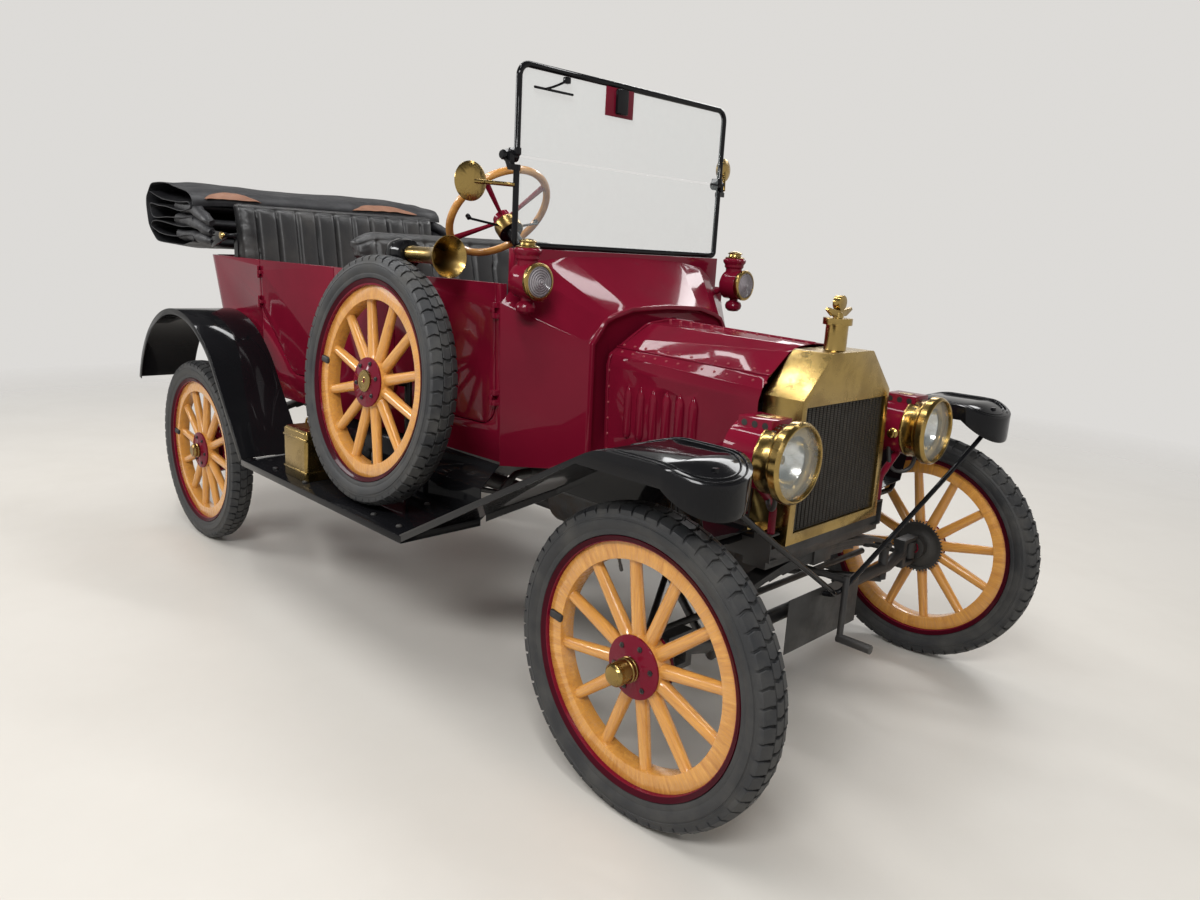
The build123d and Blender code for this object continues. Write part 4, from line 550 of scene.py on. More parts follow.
ribbed_glass = ribbed_glass_finish()
core_black = core_finish()
silver = spotted_finish("silvered", (30.0, 4), (0.4, 0.75), (0.86, 0.87, 0.86), (0.6, 0.58, 0.52), (0.12, 0.3),
                        Metallic=1.0)
iron = spotted_finish("engine_iron", (18.0, 6, 0.65), (0.45, 0.75), (0.03, 0.03, 0.031), (0.07, 0.045, 0.03),
                      (0.45, 0.8), ((120.0, 5, 0.6), 0.4, 0.0014), Metallic=0.3)
rim_wood = rim_wood_finish()
dark_iron = chassis_finish("bolt_black")
wheel_woods = {
    "front": wood_finish("front_wheel_wood", (front_axle_x, 0, wheel_radius)),
    "rear": wood_finish("rear_wheel_wood", (rear_axle_x, 0, wheel_radius)),
    "spare": wood_finish("spare_wheel_wood", spare_centre, spare_lean),
}

# Camera, floor and light
look_dir = Vector((cos(camera_pitch) * cos(camera_yaw), cos(camera_pitch) * sin(camera_yaw), sin(camera_pitch)))
level_right = Vector((sin(camera_yaw), -cos(camera_yaw), 0))
level_up = level_right.cross(look_dir)
right = level_right * cos(camera_roll) + level_up * sin(camera_roll)
up = level_up * cos(camera_roll) - level_right * sin(camera_roll)
camera_data = bpy.data.cameras.new("camera")
camera_data.sensor_width = 36
camera_data.lens = photo_focal / photo_width * camera_data.sensor_width
camera = bpy.data.objects.new("camera", camera_data)
bpy.context.collection.objects.link(camera)
camera.matrix_world = Matrix.Translation(camera_place) @ Matrix((right, up, -look_dir)).transposed().to_4x4()
bpy.context.scene.camera = camera

clear_selection()
bpy.ops.mesh.primitive_circle_add(vertices=96, radius=14, fill_type="NGON")
floor = bpy.context.object
floor.name = "floor"
floor_look = Finish("floor_paint")
floor_stain = floor_look.stretch(floor_look.noise(1.3, 5, 0.6), 0.4, 0.75)
floor.data.materials.append(
    floor_look.set(
        Base_Color=floor_look.blend(floor_stain * 0.5, (0.66, 0.63, 0.58), (0.58, 0.55, 0.5)),
        Roughness=floor_look.stretch(floor_stain, 0.0, 1.0, 0.42, 0.58),
    )
)
# far out the floor fades into the backdrop
floor_x, floor_y = floor_look.axes()[:2]
far_out = floor_look.maths("SQRT", floor_x * floor_x + floor_y * floor_y)
nothing = floor_look.node("ShaderNodeBsdfTransparent")
faded = floor_look.node(
    "ShaderNodeMixShader",
    None,
    {0: floor_look.stretch(far_out, 2.6, 6.5), 1: floor_look.shader.outputs[0], 2: nothing.outputs[0]},
)
floor_look.feed(floor_look.tree.nodes["Material Output"].inputs["Surface"], faded.outputs[0])

backdrop_level, backdrop_ceiling = 0.76, 0.1
wall_level, ceiling_level = 0.56, 0.2
scene = bpy.context.scene
scene.view_settings.view_transform = "Standard"
world = bpy.data.worlds.new("studio")
world.use_nodes = True
scene.world = world
sky = world.node_tree
backdrop = sky.nodes["Background"]
path = sky.nodes.new("ShaderNodeLightPath")
seen = path.outputs["Is Camera Ray"]
for ray in ("Is Glossy Ray", "Is Transmission Ray"):
    either = sky.nodes.new("ShaderNodeMath")
    either.operation = "MAXIMUM"
    sky.links.new(seen, either.inputs[0])
    sky.links.new(path.outputs[ray], either.inputs[1])
    seen = either.outputs[0]
# pale walls under a dark ceiling, brighter to the eye and in reflections than as light
way = sky.nodes.new("ShaderNodeTexCoord")
parts = sky.nodes.new("ShaderNodeSeparateXYZ")
sky.links.new(way.outputs["Generated"], parts.inputs[0])
level = sky.nodes.new("ShaderNodeMix")
sky.links.new(seen, level.inputs[0])
light_facts = (0.08, 0.62, wall_level, ceiling_level)
seen_facts = (0.27, 0.6, backdrop_level, backdrop_ceiling)
for socket, facts in ((2, light_facts), (3, seen_facts)):
    ceiling = sky.nodes.new("ShaderNodeMapRange")
    sky.links.new(parts.outputs[2], ceiling.inputs[0])
    for number, value in enumerate(facts):
        ceiling.inputs[number + 1].default_value = value
    sky.links.new(ceiling.outputs[0], level.inputs[socket])
sky.links.new(level.outputs[0], backdrop.inputs["Strength"])
backdrop.inputs["Color"].default_value = (0.95, 0.93, 0.9, 1)


def lamp(name, place, target, size, power):
    clear_selection()
    bpy.ops.object.light_add(type="AREA", location=place)
    made = bpy.context.object
    made.name = name
    made.data.shape = "RECTANGLE"
    made.data.size, made.data.size_y = size
    made.data.energy = power
    made.rotation_euler = (Vector(target) - Vector(place)).to_track_quat("-Z", "Y").to_euler()


lamp("key_light", (3.6, -4.4, 4.6), (0.2, 0, 0.7), (3.2, 0.9), 230)
lamp("fill_light", (-4.2, -4.0, 3.4), (-0.6, 0, 0.8), (2.6, 0.8), 130)
lamp("back_light", (-1.0, 5.0, 4.2), (0, 0, 0.8), (5.0, 0.8), 120)
lamp("ceiling_right", (0.0, -1.5, 5.0), (0.2, -1.0, 0), (6.5, 0.3), 130)
lamp("ceiling_left", (0.0, 1.7, 5.0), (0.2, 1.2, 0), (6.5, 0.3), 110)

# Bodywork and running gear in the solids' own shapes
skins = [
    (maroon, 0.0022, ["cowl", "body_tub", "door_front_right", "door_front_left", "door_rear_right",
                      "door_rear_left"]),
    (maroon, 0.0008, ["bonnet_top_right", "bonnet_top_left", "bonnet_side_right", "bonnet_side_left",
                      "steering_spider", "lamp_bodies", "spare_rim_hub", "rim_hub_front_right",
                      "rim_hub_front_left", "rim_hub_rear_right", "rim_hub_rear_left"]),
    (enamel, 0.001, ["front_fenders", "rear_fenders", "running_boards", "screen_frame", "screen_upper_frame",
                     "steering_column", "hood_irons"]),
    (chassis, 0.0012, ["frame", "springs", "front_axle", "rear_axle", "knuckle_right", "knuckle_left", "tie_rod",
                       "pitman_arm", "crank"]),
    (iron, 0.003, ["engine", "exhaust"]),
    (brass, 0.0015, ["radiator_shell", "lamp_rims", "mirrors"]),
    (old_brass, 0.0015, ["brass_can"]),
    (core_black, 0.0006, ["radiator_core"]),
    (rim_wood, 0.0, ["steering_rim"]),
]
made_skins = {}
for finish, edge, names in skins:
    for node in names:
        made_skins[node] = refined(node, finish, edge)

# How far each wheel had rolled, from a spoke straight up towards the front
wheel_turns = {"front_right": -8.5, "front_left": -10.0, "rear_right": 8.0, "rear_left": 5.0, "spare": -13.0}
wheel_centres, wheel_frames = {}, {}
for end, axle_x in (("front", front_axle_x), ("rear", rear_axle_x)):
    for hand, side in hands:
        centre = Vector((axle_x, side * wheel_y, wheel_radius))
        wheel_centres[f"{end}_{hand}"] = centre
        wheel_frames[f"{end}_{hand}"] = along(centre, (0, side, 0))
wheel_centres["spare"] = spare_centre
spare_out, spare_up = (0, -cos(spare_lean), sin(spare_lean)), (0, sin(spare_lean), cos(spare_lean))
wheel_frames["spare"] = along(spare_centre, spare_out, spare_up)


def rolled(label):
    # a wheel's turn about its own axle
    lean = spare_lean if label == "spare" else 0.0
    axle = Vector((0, cos(lean), -sin(lean)))
    centre = wheel_centres[label]
    return Matrix.Translation(centre) @ spin(wheel_turns[label], axle) @ Matrix.Translation(-centre)


for label in wheel_turns:
    node = "spare_spokes" if label == "spare" else "spokes_" + label
    wood = refined(node, wheel_woods[label.split("_")[0]], 0.0025)
    wood.matrix_world = rolled(label)
    settle(wood)


fender_turn_x, nose_share = 1.40, 0.708


def nose_drawn(x):
    # the front fenders' noses end shorter than their solids
    return x if x < fender_turn_x else fender_turn_x + (x - fender_turn_x) * nose_share


for vertex in made_skins["front_fenders"].data.vertices:
    vertex.co.x = nose_drawn(vertex.co.x)
for node in ("screen_glass_lower", "screen_glass_upper"):
    refined(node, pane, 0.0008)

# Tyres: a ribbed carcass with staggered blocks round the tread's edges
carcass = mm(
    (305.6, 30), (310, 37.5), (318, 40.5), (323, 40), (328, 42.5), (340, 45.5), (346, 45.2), (347, 43.6),
    (350, 43.4), (351, 44.4), (358, 42.5), (364, 38.5), (369, 32), (373, 21), (374.5, 10),
)
carcass = carcass + [(radius, -outward) for radius, outward in reversed(carcass)]
tread_pitches = 60
tread_step = 2 * pi / tread_pitches
tread_pitch = 2 * pi * wheel_radius / tread_pitches
tread_top, edge_low, centre_low = 0.3806, 0.3655, 0.3715


def tread_block(outline, low, turn=0.0):
    # one rubber block: an outline of (outward, share of a pitch) raised from the carcass to its worn top
    clear_selection()
    bpy.ops.mesh.primitive_circle_add(vertices=len(outline), radius=1, fill_type="NGON")
    piece = bpy.context.object
    for vertex, (outward, run) in zip(piece.data.vertices, outline):
        vertex.co = (0, run * tread_pitch, outward)
    use_modifier(piece, "SOLIDIFY", thickness=1.0, offset=1)
    for vertex in piece.data.vertices:
        crown = (vertex.co.z / tyre_half_width) ** 2
        if abs(vertex.co.x) > 0.5:
            vertex.co = (tread_top - 0.016 * crown * crown, vertex.co.y * 0.95, vertex.co.z * 0.985)
        else:
            vertex.co.x = low - 0.012 * crown
    face_out(piece)
    use_modifier(piece, "BEVEL", width=0.0009, segments=1, limit_method="ANGLE", angle_limit=radians(40))
    piece.matrix_world = Matrix.Rotation(turn, 4, "Z")
    return settle(piece)


edge_block = [(0.0150, -0.44), (0.0300, -0.33), (0.0428, -0.44), (0.0428, 0.41), (0.0300, 0.52), (0.0150, 0.40)]
centre_block = [(-0.0125, -0.32), (0.0, -0.44), (0.0125, -0.32), (0.0125, 0.50), (0.0, 0.38), (-0.0125, 0.50)]


def make_tyre():
    shell = lathe(carcass, steps=112)
    other_edge = [(-outward, run) for outward, run in edge_block]
    group = joined(
        tread_block(centre_block, centre_low, tread_step / 4),
        tread_block(edge_block, edge_low),
        tread_block(other_edge, edge_low, tread_step / 2),
    )
    turns = [Matrix.Rotation(number * tread_step, 4, "Z") for number in range(tread_pitches)]
    tyre = joined(shell, copies(group, turns))
    smooth(tyre, 28)
    return tyre


tyre_pattern = make_tyre()
for label, place in wheel_frames.items():
    node = "spare_tyre" if label == "spare" else "tyre_" + label
    tyre = twin_of(tyre_pattern)
    tyre.matrix_world = place
    settle(tyre)
    place_piece(tyre, node + "_tread", rubber, body_of[node])
    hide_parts(node)
bpy.data.objects.remove(tyre_pattern)

# Soft goods


def nearness(value, width):
    # 1 at zero, falling away to nothing over a width
    return exp(-((value / width) ** 2))


def ramp(value, low, high):
    # 0 below low, 1 above high, smooth between
    share = min(1.0, max(0.0, (value - low) / (high - low)))
    return share * share * (3 - 2 * share)


def ruffle(*place):
    # a smooth value, the same each run, at a place
    return noise.noise(Vector(place))


def stuffed(node, draw_in, swell, voxel=0.009):
    # the cushion's shape drawn in a little, then filled by cloth pressure
    piece = node_copy(node)
    bpy.ops.transform.shrink_fatten(value=-draw_in, use_even_offset=True)
    close_mesh()
    use_modifier(piece, "REMESH", mode="VOXEL", voxel_size=voxel)
    start = [vertex.co.copy() for vertex in piece.data.vertices]
    pick(piece)
    cloth = piece.modifiers.new("Filling", "CLOTH")
    cloth.settings.quality = 4
    cloth.settings.use_pressure = True
    cloth.settings.uniform_pressure_force = 4
    cloth.settings.effector_weights.gravity = 0
    cloth.collision_settings.use_self_collision = False
    cloth.point_cache.frame_end = 20
    for number in range(1, 21):
        scene.frame_set(number)
    bpy.ops.object.modifier_apply(modifier="Filling")
    scene.frame_set(1)
    for vertex, first in zip(piece.data.vertices, start):
        move = vertex.co - first
        if move.length > swell:
            vertex.co = first + move * (swell / move.length)
    use_modifier(piece, "SUBSURF", levels=1, render_levels=1)
    return piece


def pleated(piece, channels, half, facing, seam_low, seam_high, welt=None):
    # sewn channels across the car, a welt line above them, and slack wrinkles at the two ends
    pitch = 2 * half / channels
    mesh = piece.data
    moves = []
    for vertex in mesh.vertices:
        place, normal = vertex.co, vertex.normal
        share = (place.y + half) / pitch
        part = share % 1.0
        to_seam = min(part, 1 - part) * pitch
        shown = max(0.0, normal.dot(facing)) ** 0.5
        shown *= ramp(place.z, seam_low - 0.012, seam_low + 0.012)
        shown *= 1 - ramp(place.z, seam_high - 0.018, seam_high + 0.018)
        waver = ruffle(place.y * 7, place.z * 9, place.x * 9)
        push = shown * (0.006 * (1 - (2 * part - 1) ** 2) - (0.013 + 0.003 * waver) * nearness(to_seam, 0.0075))
        if welt:
            face = max(0.0, normal.dot(facing))
            push -= 0.006 * face * nearness(place.z - welt, 0.006)
        slack = ramp(abs(place.y), half - 0.13, half - 0.01)
        crease = ruffle(place.x * 26, place.y * 9, place.z * 17)
        fine = ruffle(place.x * 60, place.y * 22, place.z * 50)
        push += slack * (0.005 * crease + 0.0016 * fine) + 0.0012 * waver
        moves.append(normal * push)
    for vertex, move in zip(mesh.vertices, moves):
        vertex.co += move
    smooth(piece, 60)


def wrapped_over(piece, half, start_z):
    # the back's upper ends swell over the body's sides, turn forward and round off
    for vertex in piece.data.vertices:
        place = vertex.co
        over = ramp(place.z, start_z, start_z + 0.035)
        end = ramp(abs(place.y), half - 0.13, half + 0.01)
        place.z -= 0.045 * end**2 * ramp(place.z, start_z + 0.02, start_z + 0.14)
        place.x += 0.035 * end * over
        place.y *= 1 + 0.12 * over


seat_facts = [
    ("front_seat_back", 10, 0.47, Vector((1, 0, 0)), 0.84, 1.295, 1.297),
    ("rear_seat_back", 11, 0.51, Vector((1, 0, 0)), 0.84, 1.395, 1.40),
    ("front_seat_cushion", 10, 0.47, Vector((0, 0, 1)), 0.86, 1.2, None),
    ("rear_seat_cushion", 11, 0.51, Vector((0, 0, 1)), 0.86, 1.2, None),
]
for node, channels, half, facing, seam_low, seam_high, welt in seat_facts:
    is_back = welt is not None
    piece = stuffed(node, 0.010, 0.016 if is_back else 0.014)
    pleated(piece, channels, half, facing, seam_low, seam_high, welt)
    if node == "front_seat_back":
        wrapped_over(piece, half, 1.206)
    place_piece(piece, node + "_pad", leather, body_of[node])
    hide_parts(node)


def spline_point(points, share):
    # a point on the smooth line through the points, share from 0 to 1
    run = share * (len(points) - 1)
    number = min(int(run), len(points) - 2)
    part = run - number
    before = points[max(number - 1, 0)]
    start, end = points[number], points[number + 1]
    after = points[min(number + 2, len(points) - 1)]
    made = []
    for a, b, c, d in zip(before, start, end, after):
        made.append(
            0.5 * (2 * b + (c - a) * part + (2 * a - 5 * b + 4 * c - d) * part**2 + (3 * b - a - 3 * c + d) * part**3)
        )
    return made


def cloth_sheet(name, finish, along_steps, across_steps, thick, spot):
    # a grid laid out by spot(share along from 0 to 1, share across from -1 to 1); returns its area too
    clear_selection()
    bpy.ops.mesh.primitive_grid_add(x_subdivisions=along_steps, y_subdivisions=across_steps, size=2)
    piece = bpy.context.object
    for vertex in piece.data.vertices:
        vertex.co = spot((vertex.co.x + 1) / 2, vertex.co.y)
    face_out(piece)
    area = sum(face.area for face in piece.data.polygons)
    use_modifier(piece, "SOLIDIFY", thickness=thick, offset=0)
    smooth(piece, 60)
    place_piece(piece, name, finish)
    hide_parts("hood")
    return piece, area


hood_section = mm(
    (-1318, 1405), (-1322, 1436), (-1372, 1464), (-1470, 1482), (-1600, 1496), (-1740, 1505), (-1850, 1500),
    (-1902, 1464), (-1914, 1395), (-1898, 1318), (-1855, 1258), (-1770, 1226), (-1620, 1216), (-1480, 1218),
    (-1370, 1224), (-1322, 1240), (-1342, 1260), (-1460, 1262), (-1620, 1256), (-1780, 1268), (-1858, 1300),
    (-1800, 1322), (-1640, 1306), (-1460, 1300), (-1350, 1302), (-1325, 1320), (-1360, 1338), (-1480, 1336),
    (-1660, 1342), (-1820, 1348), (-1874, 1376), (-1850, 1408), (-1720, 1392), (-1560, 1378), (-1420, 1372),
    (-1345, 1386), (-1380, 1410), (-1500, 1414), (-1660, 1426), (-1800, 1446), (-1858, 1462),
)
hood_half, hood_rumple = 0.632, 0.011
hood_middle_x, hood_middle_z = -1.60, 1.36
# noise_vector's offsets follow the clock unless they are seeded
hood_seed = 1795715121
noise.seed_set(hood_seed)


def hood_spot(share, across):
    # the folded section carried across the car, rumpled, drawn in at its two ends
    across *= hood_half
    x, z = spline_point(hood_section, share)
    end = ramp(abs(across), hood_half - 0.14, hood_half)
    x += (hood_middle_x - x) * 0.05 * end
    z += (hood_middle_z - z) * 0.10 * end
    broad = noise.noise_vector(Vector((share * 9, across * 2.2, 3.1)))
    gathers = noise.noise_vector(Vector((share * 34, across * 7.5, 8.4)))
    fine = noise.noise_vector(Vector((share * 90, across * 16, 1.7)))
    move = broad * hood_rumple + gathers * hood_rumple * (0.32 + 0.5 * end) + fine * hood_rumple * 0.1
    edge = 0.010 * end * ruffle(share * 22, 5.0, 2.0 if across > 0 else 7.0)
    across += edge if across < 0 else -edge
    return x + move.x * 0.6, max(-hood_half, min(hood_half, across)), z + move.z


sheet, sheet_area = cloth_sheet("hood_folds", hood_cloth, 210, 96, 0.0028, hood_spot)

# Bundles of cloth on the bows' ends, each side: height in front, rise to the rear and radius
roll_facts = [(1.252, 0.02, 0.019), (1.289, 0.05, 0.023), (1.326, 0.072, 0.020)]
for hand, side in hands:
    for number, (height, rise, radius) in enumerate(roll_facts):
        line = [
            (-1.186, side * 0.610, height),
            (-1.235, side * 0.612, height + rise * 0.2),
            (-1.32, side * 0.607, height + rise * 0.6),
            (-1.46, side * 0.597, height + rise * 0.9),
            (-1.60, side * 0.59, height + rise),
        ]
        roll = pipe(line, radius, smoothing=18, sides=8)
        for vertex in roll.data.vertices:
            place = vertex.co
            centre = Vector((place.x, line[2][1], height + rise * ramp(-place.x, 1.18, 1.55)))
            swollen = 1 + 0.22 * ramp(-place.x, 1.19, 1.30) - 0.35 * nearness(place.x + 1.185, 0.02)
            pull = ruffle(place.x * 11, place.y * 60, place.z * 60)
            offset = place - centre
            vertex.co = centre + Vector((offset.x, offset.y * swollen, offset.z * swollen))
            vertex.co += Vector((0, 0.004, 0.006)) * pull
        smooth(roll, 60)
        place_piece(roll, f"hood_roll_{hand}_{number + 1}", hood_cloth)
        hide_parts("hood")


def lining_patch(name, middle, width):
    # lining that shows where the cover's front edge is turned back

    def lining_spot(share, across):
        bulge = (1 - across * across) ** 0.75
        lift = 0.003 + 0.010 * bulge * sin(share * pi)
        ripple = 0.004 * ruffle(across * 3, share * 4, middle * 5)
        x = -1.307 - 0.075 * share * (0.35 + 0.65 * bulge)
        z = 1.425 + 0.026 * bulge * sin(share * pi / 2 + 0.2) + lift + ripple
        return x, middle + across * width / 2, z

    piece, area = cloth_sheet(name, lining_cloth, 14, 40, 0.002, lining_spot)


lining_patch("hood_lining_right", -0.46, 0.24)
lining_patch("hood_lining_left", 0.30, 0.36)

# Hub caps, bolts, valves, rim rings and the front hubs' backs
round_cap = mm(
    (0, 36.5), (28.5, 36.5), (30, 38), (30, 43), (28.6, 44.2), (28.6, 47), (30, 48.2), (30, 53.5), (28.2, 55.6),
    (27.6, 60), (27.6, 87), (26.2, 90.5), (21.5, 95.5), (15, 97.2), (0, 97.5),
)
short_cap = mm(
    (0, 36.5), (28.5, 36.5), (30, 38), (30, 43), (27.6, 45), (27.6, 54), (24, 59), (18, 62.8), (0, 63.4),
)
flat_cap = mm(
    (0, 30), (33, 30), (33.5, 32), (33.5, 37.2), (31.5, 38.8), (24, 39.2), (22.5, 38.2), (12, 38.2),
    (10.5, 39.2), (8, 39.4), (6.5, 37.2), (0, 37.2),
)
bolt_head = mm((0, 0), (6.8, 0), (6.8, 3.8), (5.6, 4.6), (3.4, 4.6), (3.4, 7.2), (2.4, 8), (0, 8))
valve_stem = mm((0, 0), (5.5, 0), (5.5, 4), (3.6, 5), (3.6, 18), (4.6, 19), (4.6, 31), (3, 34), (0, 34))
rim_ring = mm(
    (293.5, 28.5), (294, 31.5), (299, 33.5), (304, 37.2), (307.2, 38.6), (308.1, 36.8), (305.2, 33.5),
    (299, 30), (293.5, 28.5),
)
hub_back = mm(
    (35.5, -28.4), (77, -28.4), (77, -30.2), (56, -31), (50, -34.5), (38.5, -36.5), (37, -61.5), (34, -62.6),
    (20, -62.6), (20, -61.6), (35.5, -61.6), (35.5, -28.4),
)
gear_ring = mm((74, -29.6), (83, -29.6), (83, -34.8), (74, -34.8), (74, -29.6))
cap_profiles = {"front_right": round_cap, "front_left": round_cap, "rear_right": short_cap, "rear_left": short_cap,
                "spare": flat_cap}
stem_angles = {"front_right": 340, "front_left": 172, "rear_right": 250, "rear_left": 200, "spare": 172}
bolt_spot, stem_spot, clip_spot = (0.056, 0, 0.0286), (0.2515, 0, 0.004), (0.270, 0, 0.0225)
for label, at in wheel_frames.items():
    body = "chassis" if label == "spare" else "wheel_" + label
    side = 1 if label.endswith("left") else -1
    turned("hub_cap_" + label, old_brass, cap_profiles[label], at, 36, 30, body)
    bolts = [rolled(label) @ at @ spin(30 + 60 * number) @ Matrix.Translation(bolt_spot) for number in range(6)]
    turned("hub_bolts_" + label, dark_iron, bolt_head, bolts, 6, body=body)
    stem = at @ spin(side * stem_angles[label]) @ Matrix.Translation(stem_spot) @ spin(-90, "Y")
    turned("valve_" + label, dark_iron, valve_stem, [stem], 12, body=body)
    rings = [lathe([(radius, hand * out) for radius, out in rim_ring], at, steps=96) for hand in (1, -1)]
    ring = joined(*rings)
    smooth(ring, 50)
    place_piece(ring, "rim_ring_" + label, rim_maroon, body)
    if label.startswith("front"):
        backs = [lathe(hub_back, at, steps=60)]
        if label == "front_left":
            tooth = brick((0.0855, 0, -0.0322), (0.0070, 0.0046, 0.0048), 0.0008, 1)
            turns = [at @ Matrix.Rotation(2 * pi * number / 48, 4, "Z") for number in range(48)]
            backs += [lathe(gear_ring, at, steps=60), copies(tooth, turns)]
        back = joined(*backs)
        smooth(back, 30)
        place_piece(back, "hub_back_" + label, dark_iron, body)
    clip = brick((0, 0, 0), (0.042, 0.022, 0.013), 0.0055, 3)
    clip.matrix_world = at @ spin(side * 277) @ Matrix.Translation(clip_spot)
    place_piece(settle(clip), "felloe_clip_" + label, dark_iron, body)

# Rivets in the bonnet: staggered rows each side of the hinges, and down the sides' rear edges
rivet = mm((4.6, -0.6), (4.3, 1.2), (2.7, 2.6), (0, 3))
bonnet_rear_x, bonnet_front_x = 0.8555, 1.3795


def bonnet_point(rear_point, front_point, share):
    # a share of the way along a line from the bonnet's rear edge to its front edge
    x = bonnet_rear_x + (bonnet_front_x - bonnet_rear_x) * share
    y, z = [(a + (b - a) * share) / 1000 for a, b in zip(rear_point, front_point)]
    return x, y, z


for hand, side in hands:
    rows = {"top": [], "side": []}
    for number in range(13):
        share = 0.03 + 0.94 * number / 12
        rows["top"].append((bonnet_point((219, 1033.2), (186, 1018.3), share), (0.52, 0.855)))
        rows["top"].append((bonnet_point((15, 1103.0), (13, 1086.3), share), (0.09, 0.996)))
        lower = bonnet_point((247.5, 1017.1), (214.5, 991.6), min(1.0, share + 0.036))
        rows["side"].append((lower, (0.58, 0.815)))
    for number in range(7):
        x, y, z = bonnet_point((273.2 - number * 1.4, 960 - number * 48), (0, 0), 0)
        rows["side"].append(((x + 0.012, y, z), (1.0, 0.0)))
    for part, row in rows.items():
        places = [along((x, side * y, z), (0, side * out, rise), (1, 0, 0)) for (x, y, z), (out, rise) in row]
        # the rivets take the lighter maroon, a painted highlight on their domes
        turned(f"rivets_bonnet_{part}_{hand}", rivet_painted_highlight, rivet, places, 8, 60, f"bonnet_{part}_{hand}")

# Pressed louvres in place of the plain ones, and a bead round the bonnet's rear edge
louvre_shape = mm((0, 0), (8.5, 2), (13.2, 9), (14.5, 18), (14.5, 127), (12.2, 136), (5.6, 150), (0, 160))
louvre_flatness = 0.74
bead_outlines = {
    "top": mm((20, 1103.5), (70, 1098.5), (112, 1093.5), (150, 1073.5), (189, 1051.5), (225.5, 1029.5)),
    "side": mm((238, 1020.5), (264, 1008.5), (273, 990), (273.8, 970), (271.5, 880), (266.5, 760), (263, 650)),
}
louvre_places = [(0.9445 + 0.047 * number, 0.768) for number in range(6)]


def bonnet_side_y(x, z):
    # the bonnet side's outer face
    share = (x - bonnet_rear_x) / (bonnet_front_x - bonnet_rear_x)
    rear = 0.263 + 0.011 * (z - 0.641) / 0.334
    front = 0.242 - 0.002 * (z - 0.641) / 0.304
    return rear + (front - rear) * share


for hand, side in hands:
    panel = made_skins["bonnet_side_" + hand]
    for vertex in panel.data.vertices:
        place = vertex.co
        face = bonnet_side_y(place.x, place.z)
        if 0.760 < place.z < 0.930 and abs(place.y) > face + 0.0003:
            place.y = side * (face - 0.0003)
    louvre = lathe(louvre_shape, steps=20)
    open_mesh(louvre)
    bpy.ops.mesh.bisect(plane_co=(-0.001, 0, 0), plane_no=(1, 0, 0), clear_inner=True, use_fill=True)
    close_mesh()
    face_out(louvre)
    for vertex in louvre.data.vertices:
        vertex.co.x *= louvre_flatness
    lean = Vector((0, side * 0.020, 1))
    spots = [along((x, side * bonnet_side_y(x, z), z), lean, (-0.05, side, 0)) for x, z in louvre_places]
    row = copies(louvre, spots)
    smooth(row, 40)
    place_piece(row, "louvres_" + hand, maroon, "bonnet_side_" + hand)
    bead_x = bonnet_rear_x + 0.010
    for part, outline in bead_outlines.items():
        line = [(bead_x, side * y, z) for y, z in outline]
        bead = pipe(line, 0.0036, smoothing=8, sides=3)
        place_piece(bead, f"bonnet_bead_{part}_{hand}", maroon, f"bonnet_{part}_{hand}")

# Double beads round the front fenders' crowns
fender_outer, fender_inner = 0.838, 0.575
fender_level_x, fender_knee_x, fender_foot_x = 1.6495, 1.3895, 0.6305
fender_crown, fender_nose_z, fender_foot_z = 0.895, 0.858, 0.4933
fender_bend = 0.18


def fender_height(x):
    # the crown's height along the front fender
    rear_bend, front_bend = fender_knee_x + 0.0447, fender_level_x - 0.026
    if x < fender_knee_x - 0.0395:
        return fender_crown - (fender_knee_x - x) / (fender_knee_x - fender_foot_x) * (fender_crown - fender_foot_z)
    if x < rear_bend:
        return fender_crown - fender_bend + sqrt(fender_bend**2 - (x - rear_bend) ** 2)
    if x < front_bend:
        return fender_crown
    if x < fender_level_x + 0.0249:
        return fender_crown - fender_bend + sqrt(fender_bend**2 - (x - front_bend) ** 2)
    return fender_crown - (x - fender_level_x) / 0.125 * (fender_crown - fender_nose_z)


def fender_loop(inset, side):
    # a closed line round a crown, set in from its edges
    middle, across = (fender_outer + fender_inner) / 2, (fender_outer - fender_inner) / 2 - inset
    straight = [fender_level_x - number * 0.043 for number in range(22)]
    points = []
    for number in range(15):
        angle = -pi / 2 + pi * number / 14
        points.append((fender_level_x + (0.125 - inset) * cos(angle), middle + across * sin(angle)))
    points += [(x, middle + across) for x in straight[1:]]
    for number in range(1, 6):
        angle = pi / 2 + pi * number / 6
        points.append((straight[-1] + 0.05 * cos(angle), middle + across * sin(angle)))
    points += [(x, middle - across) for x in straight[:0:-1]]
    return [(nose_drawn(x), side * y, fender_height(x) + 0.0004) for x, y in points]


for hand, side in hands:
    loops = [
        pipe(fender_loop(inset, side), 0.0024, closed=True, smoothing=3, sides=2) for inset in (0.013, 0.030)
    ]
    place_piece(joined(*loops), f"fender_bead_{hand}", enamel)

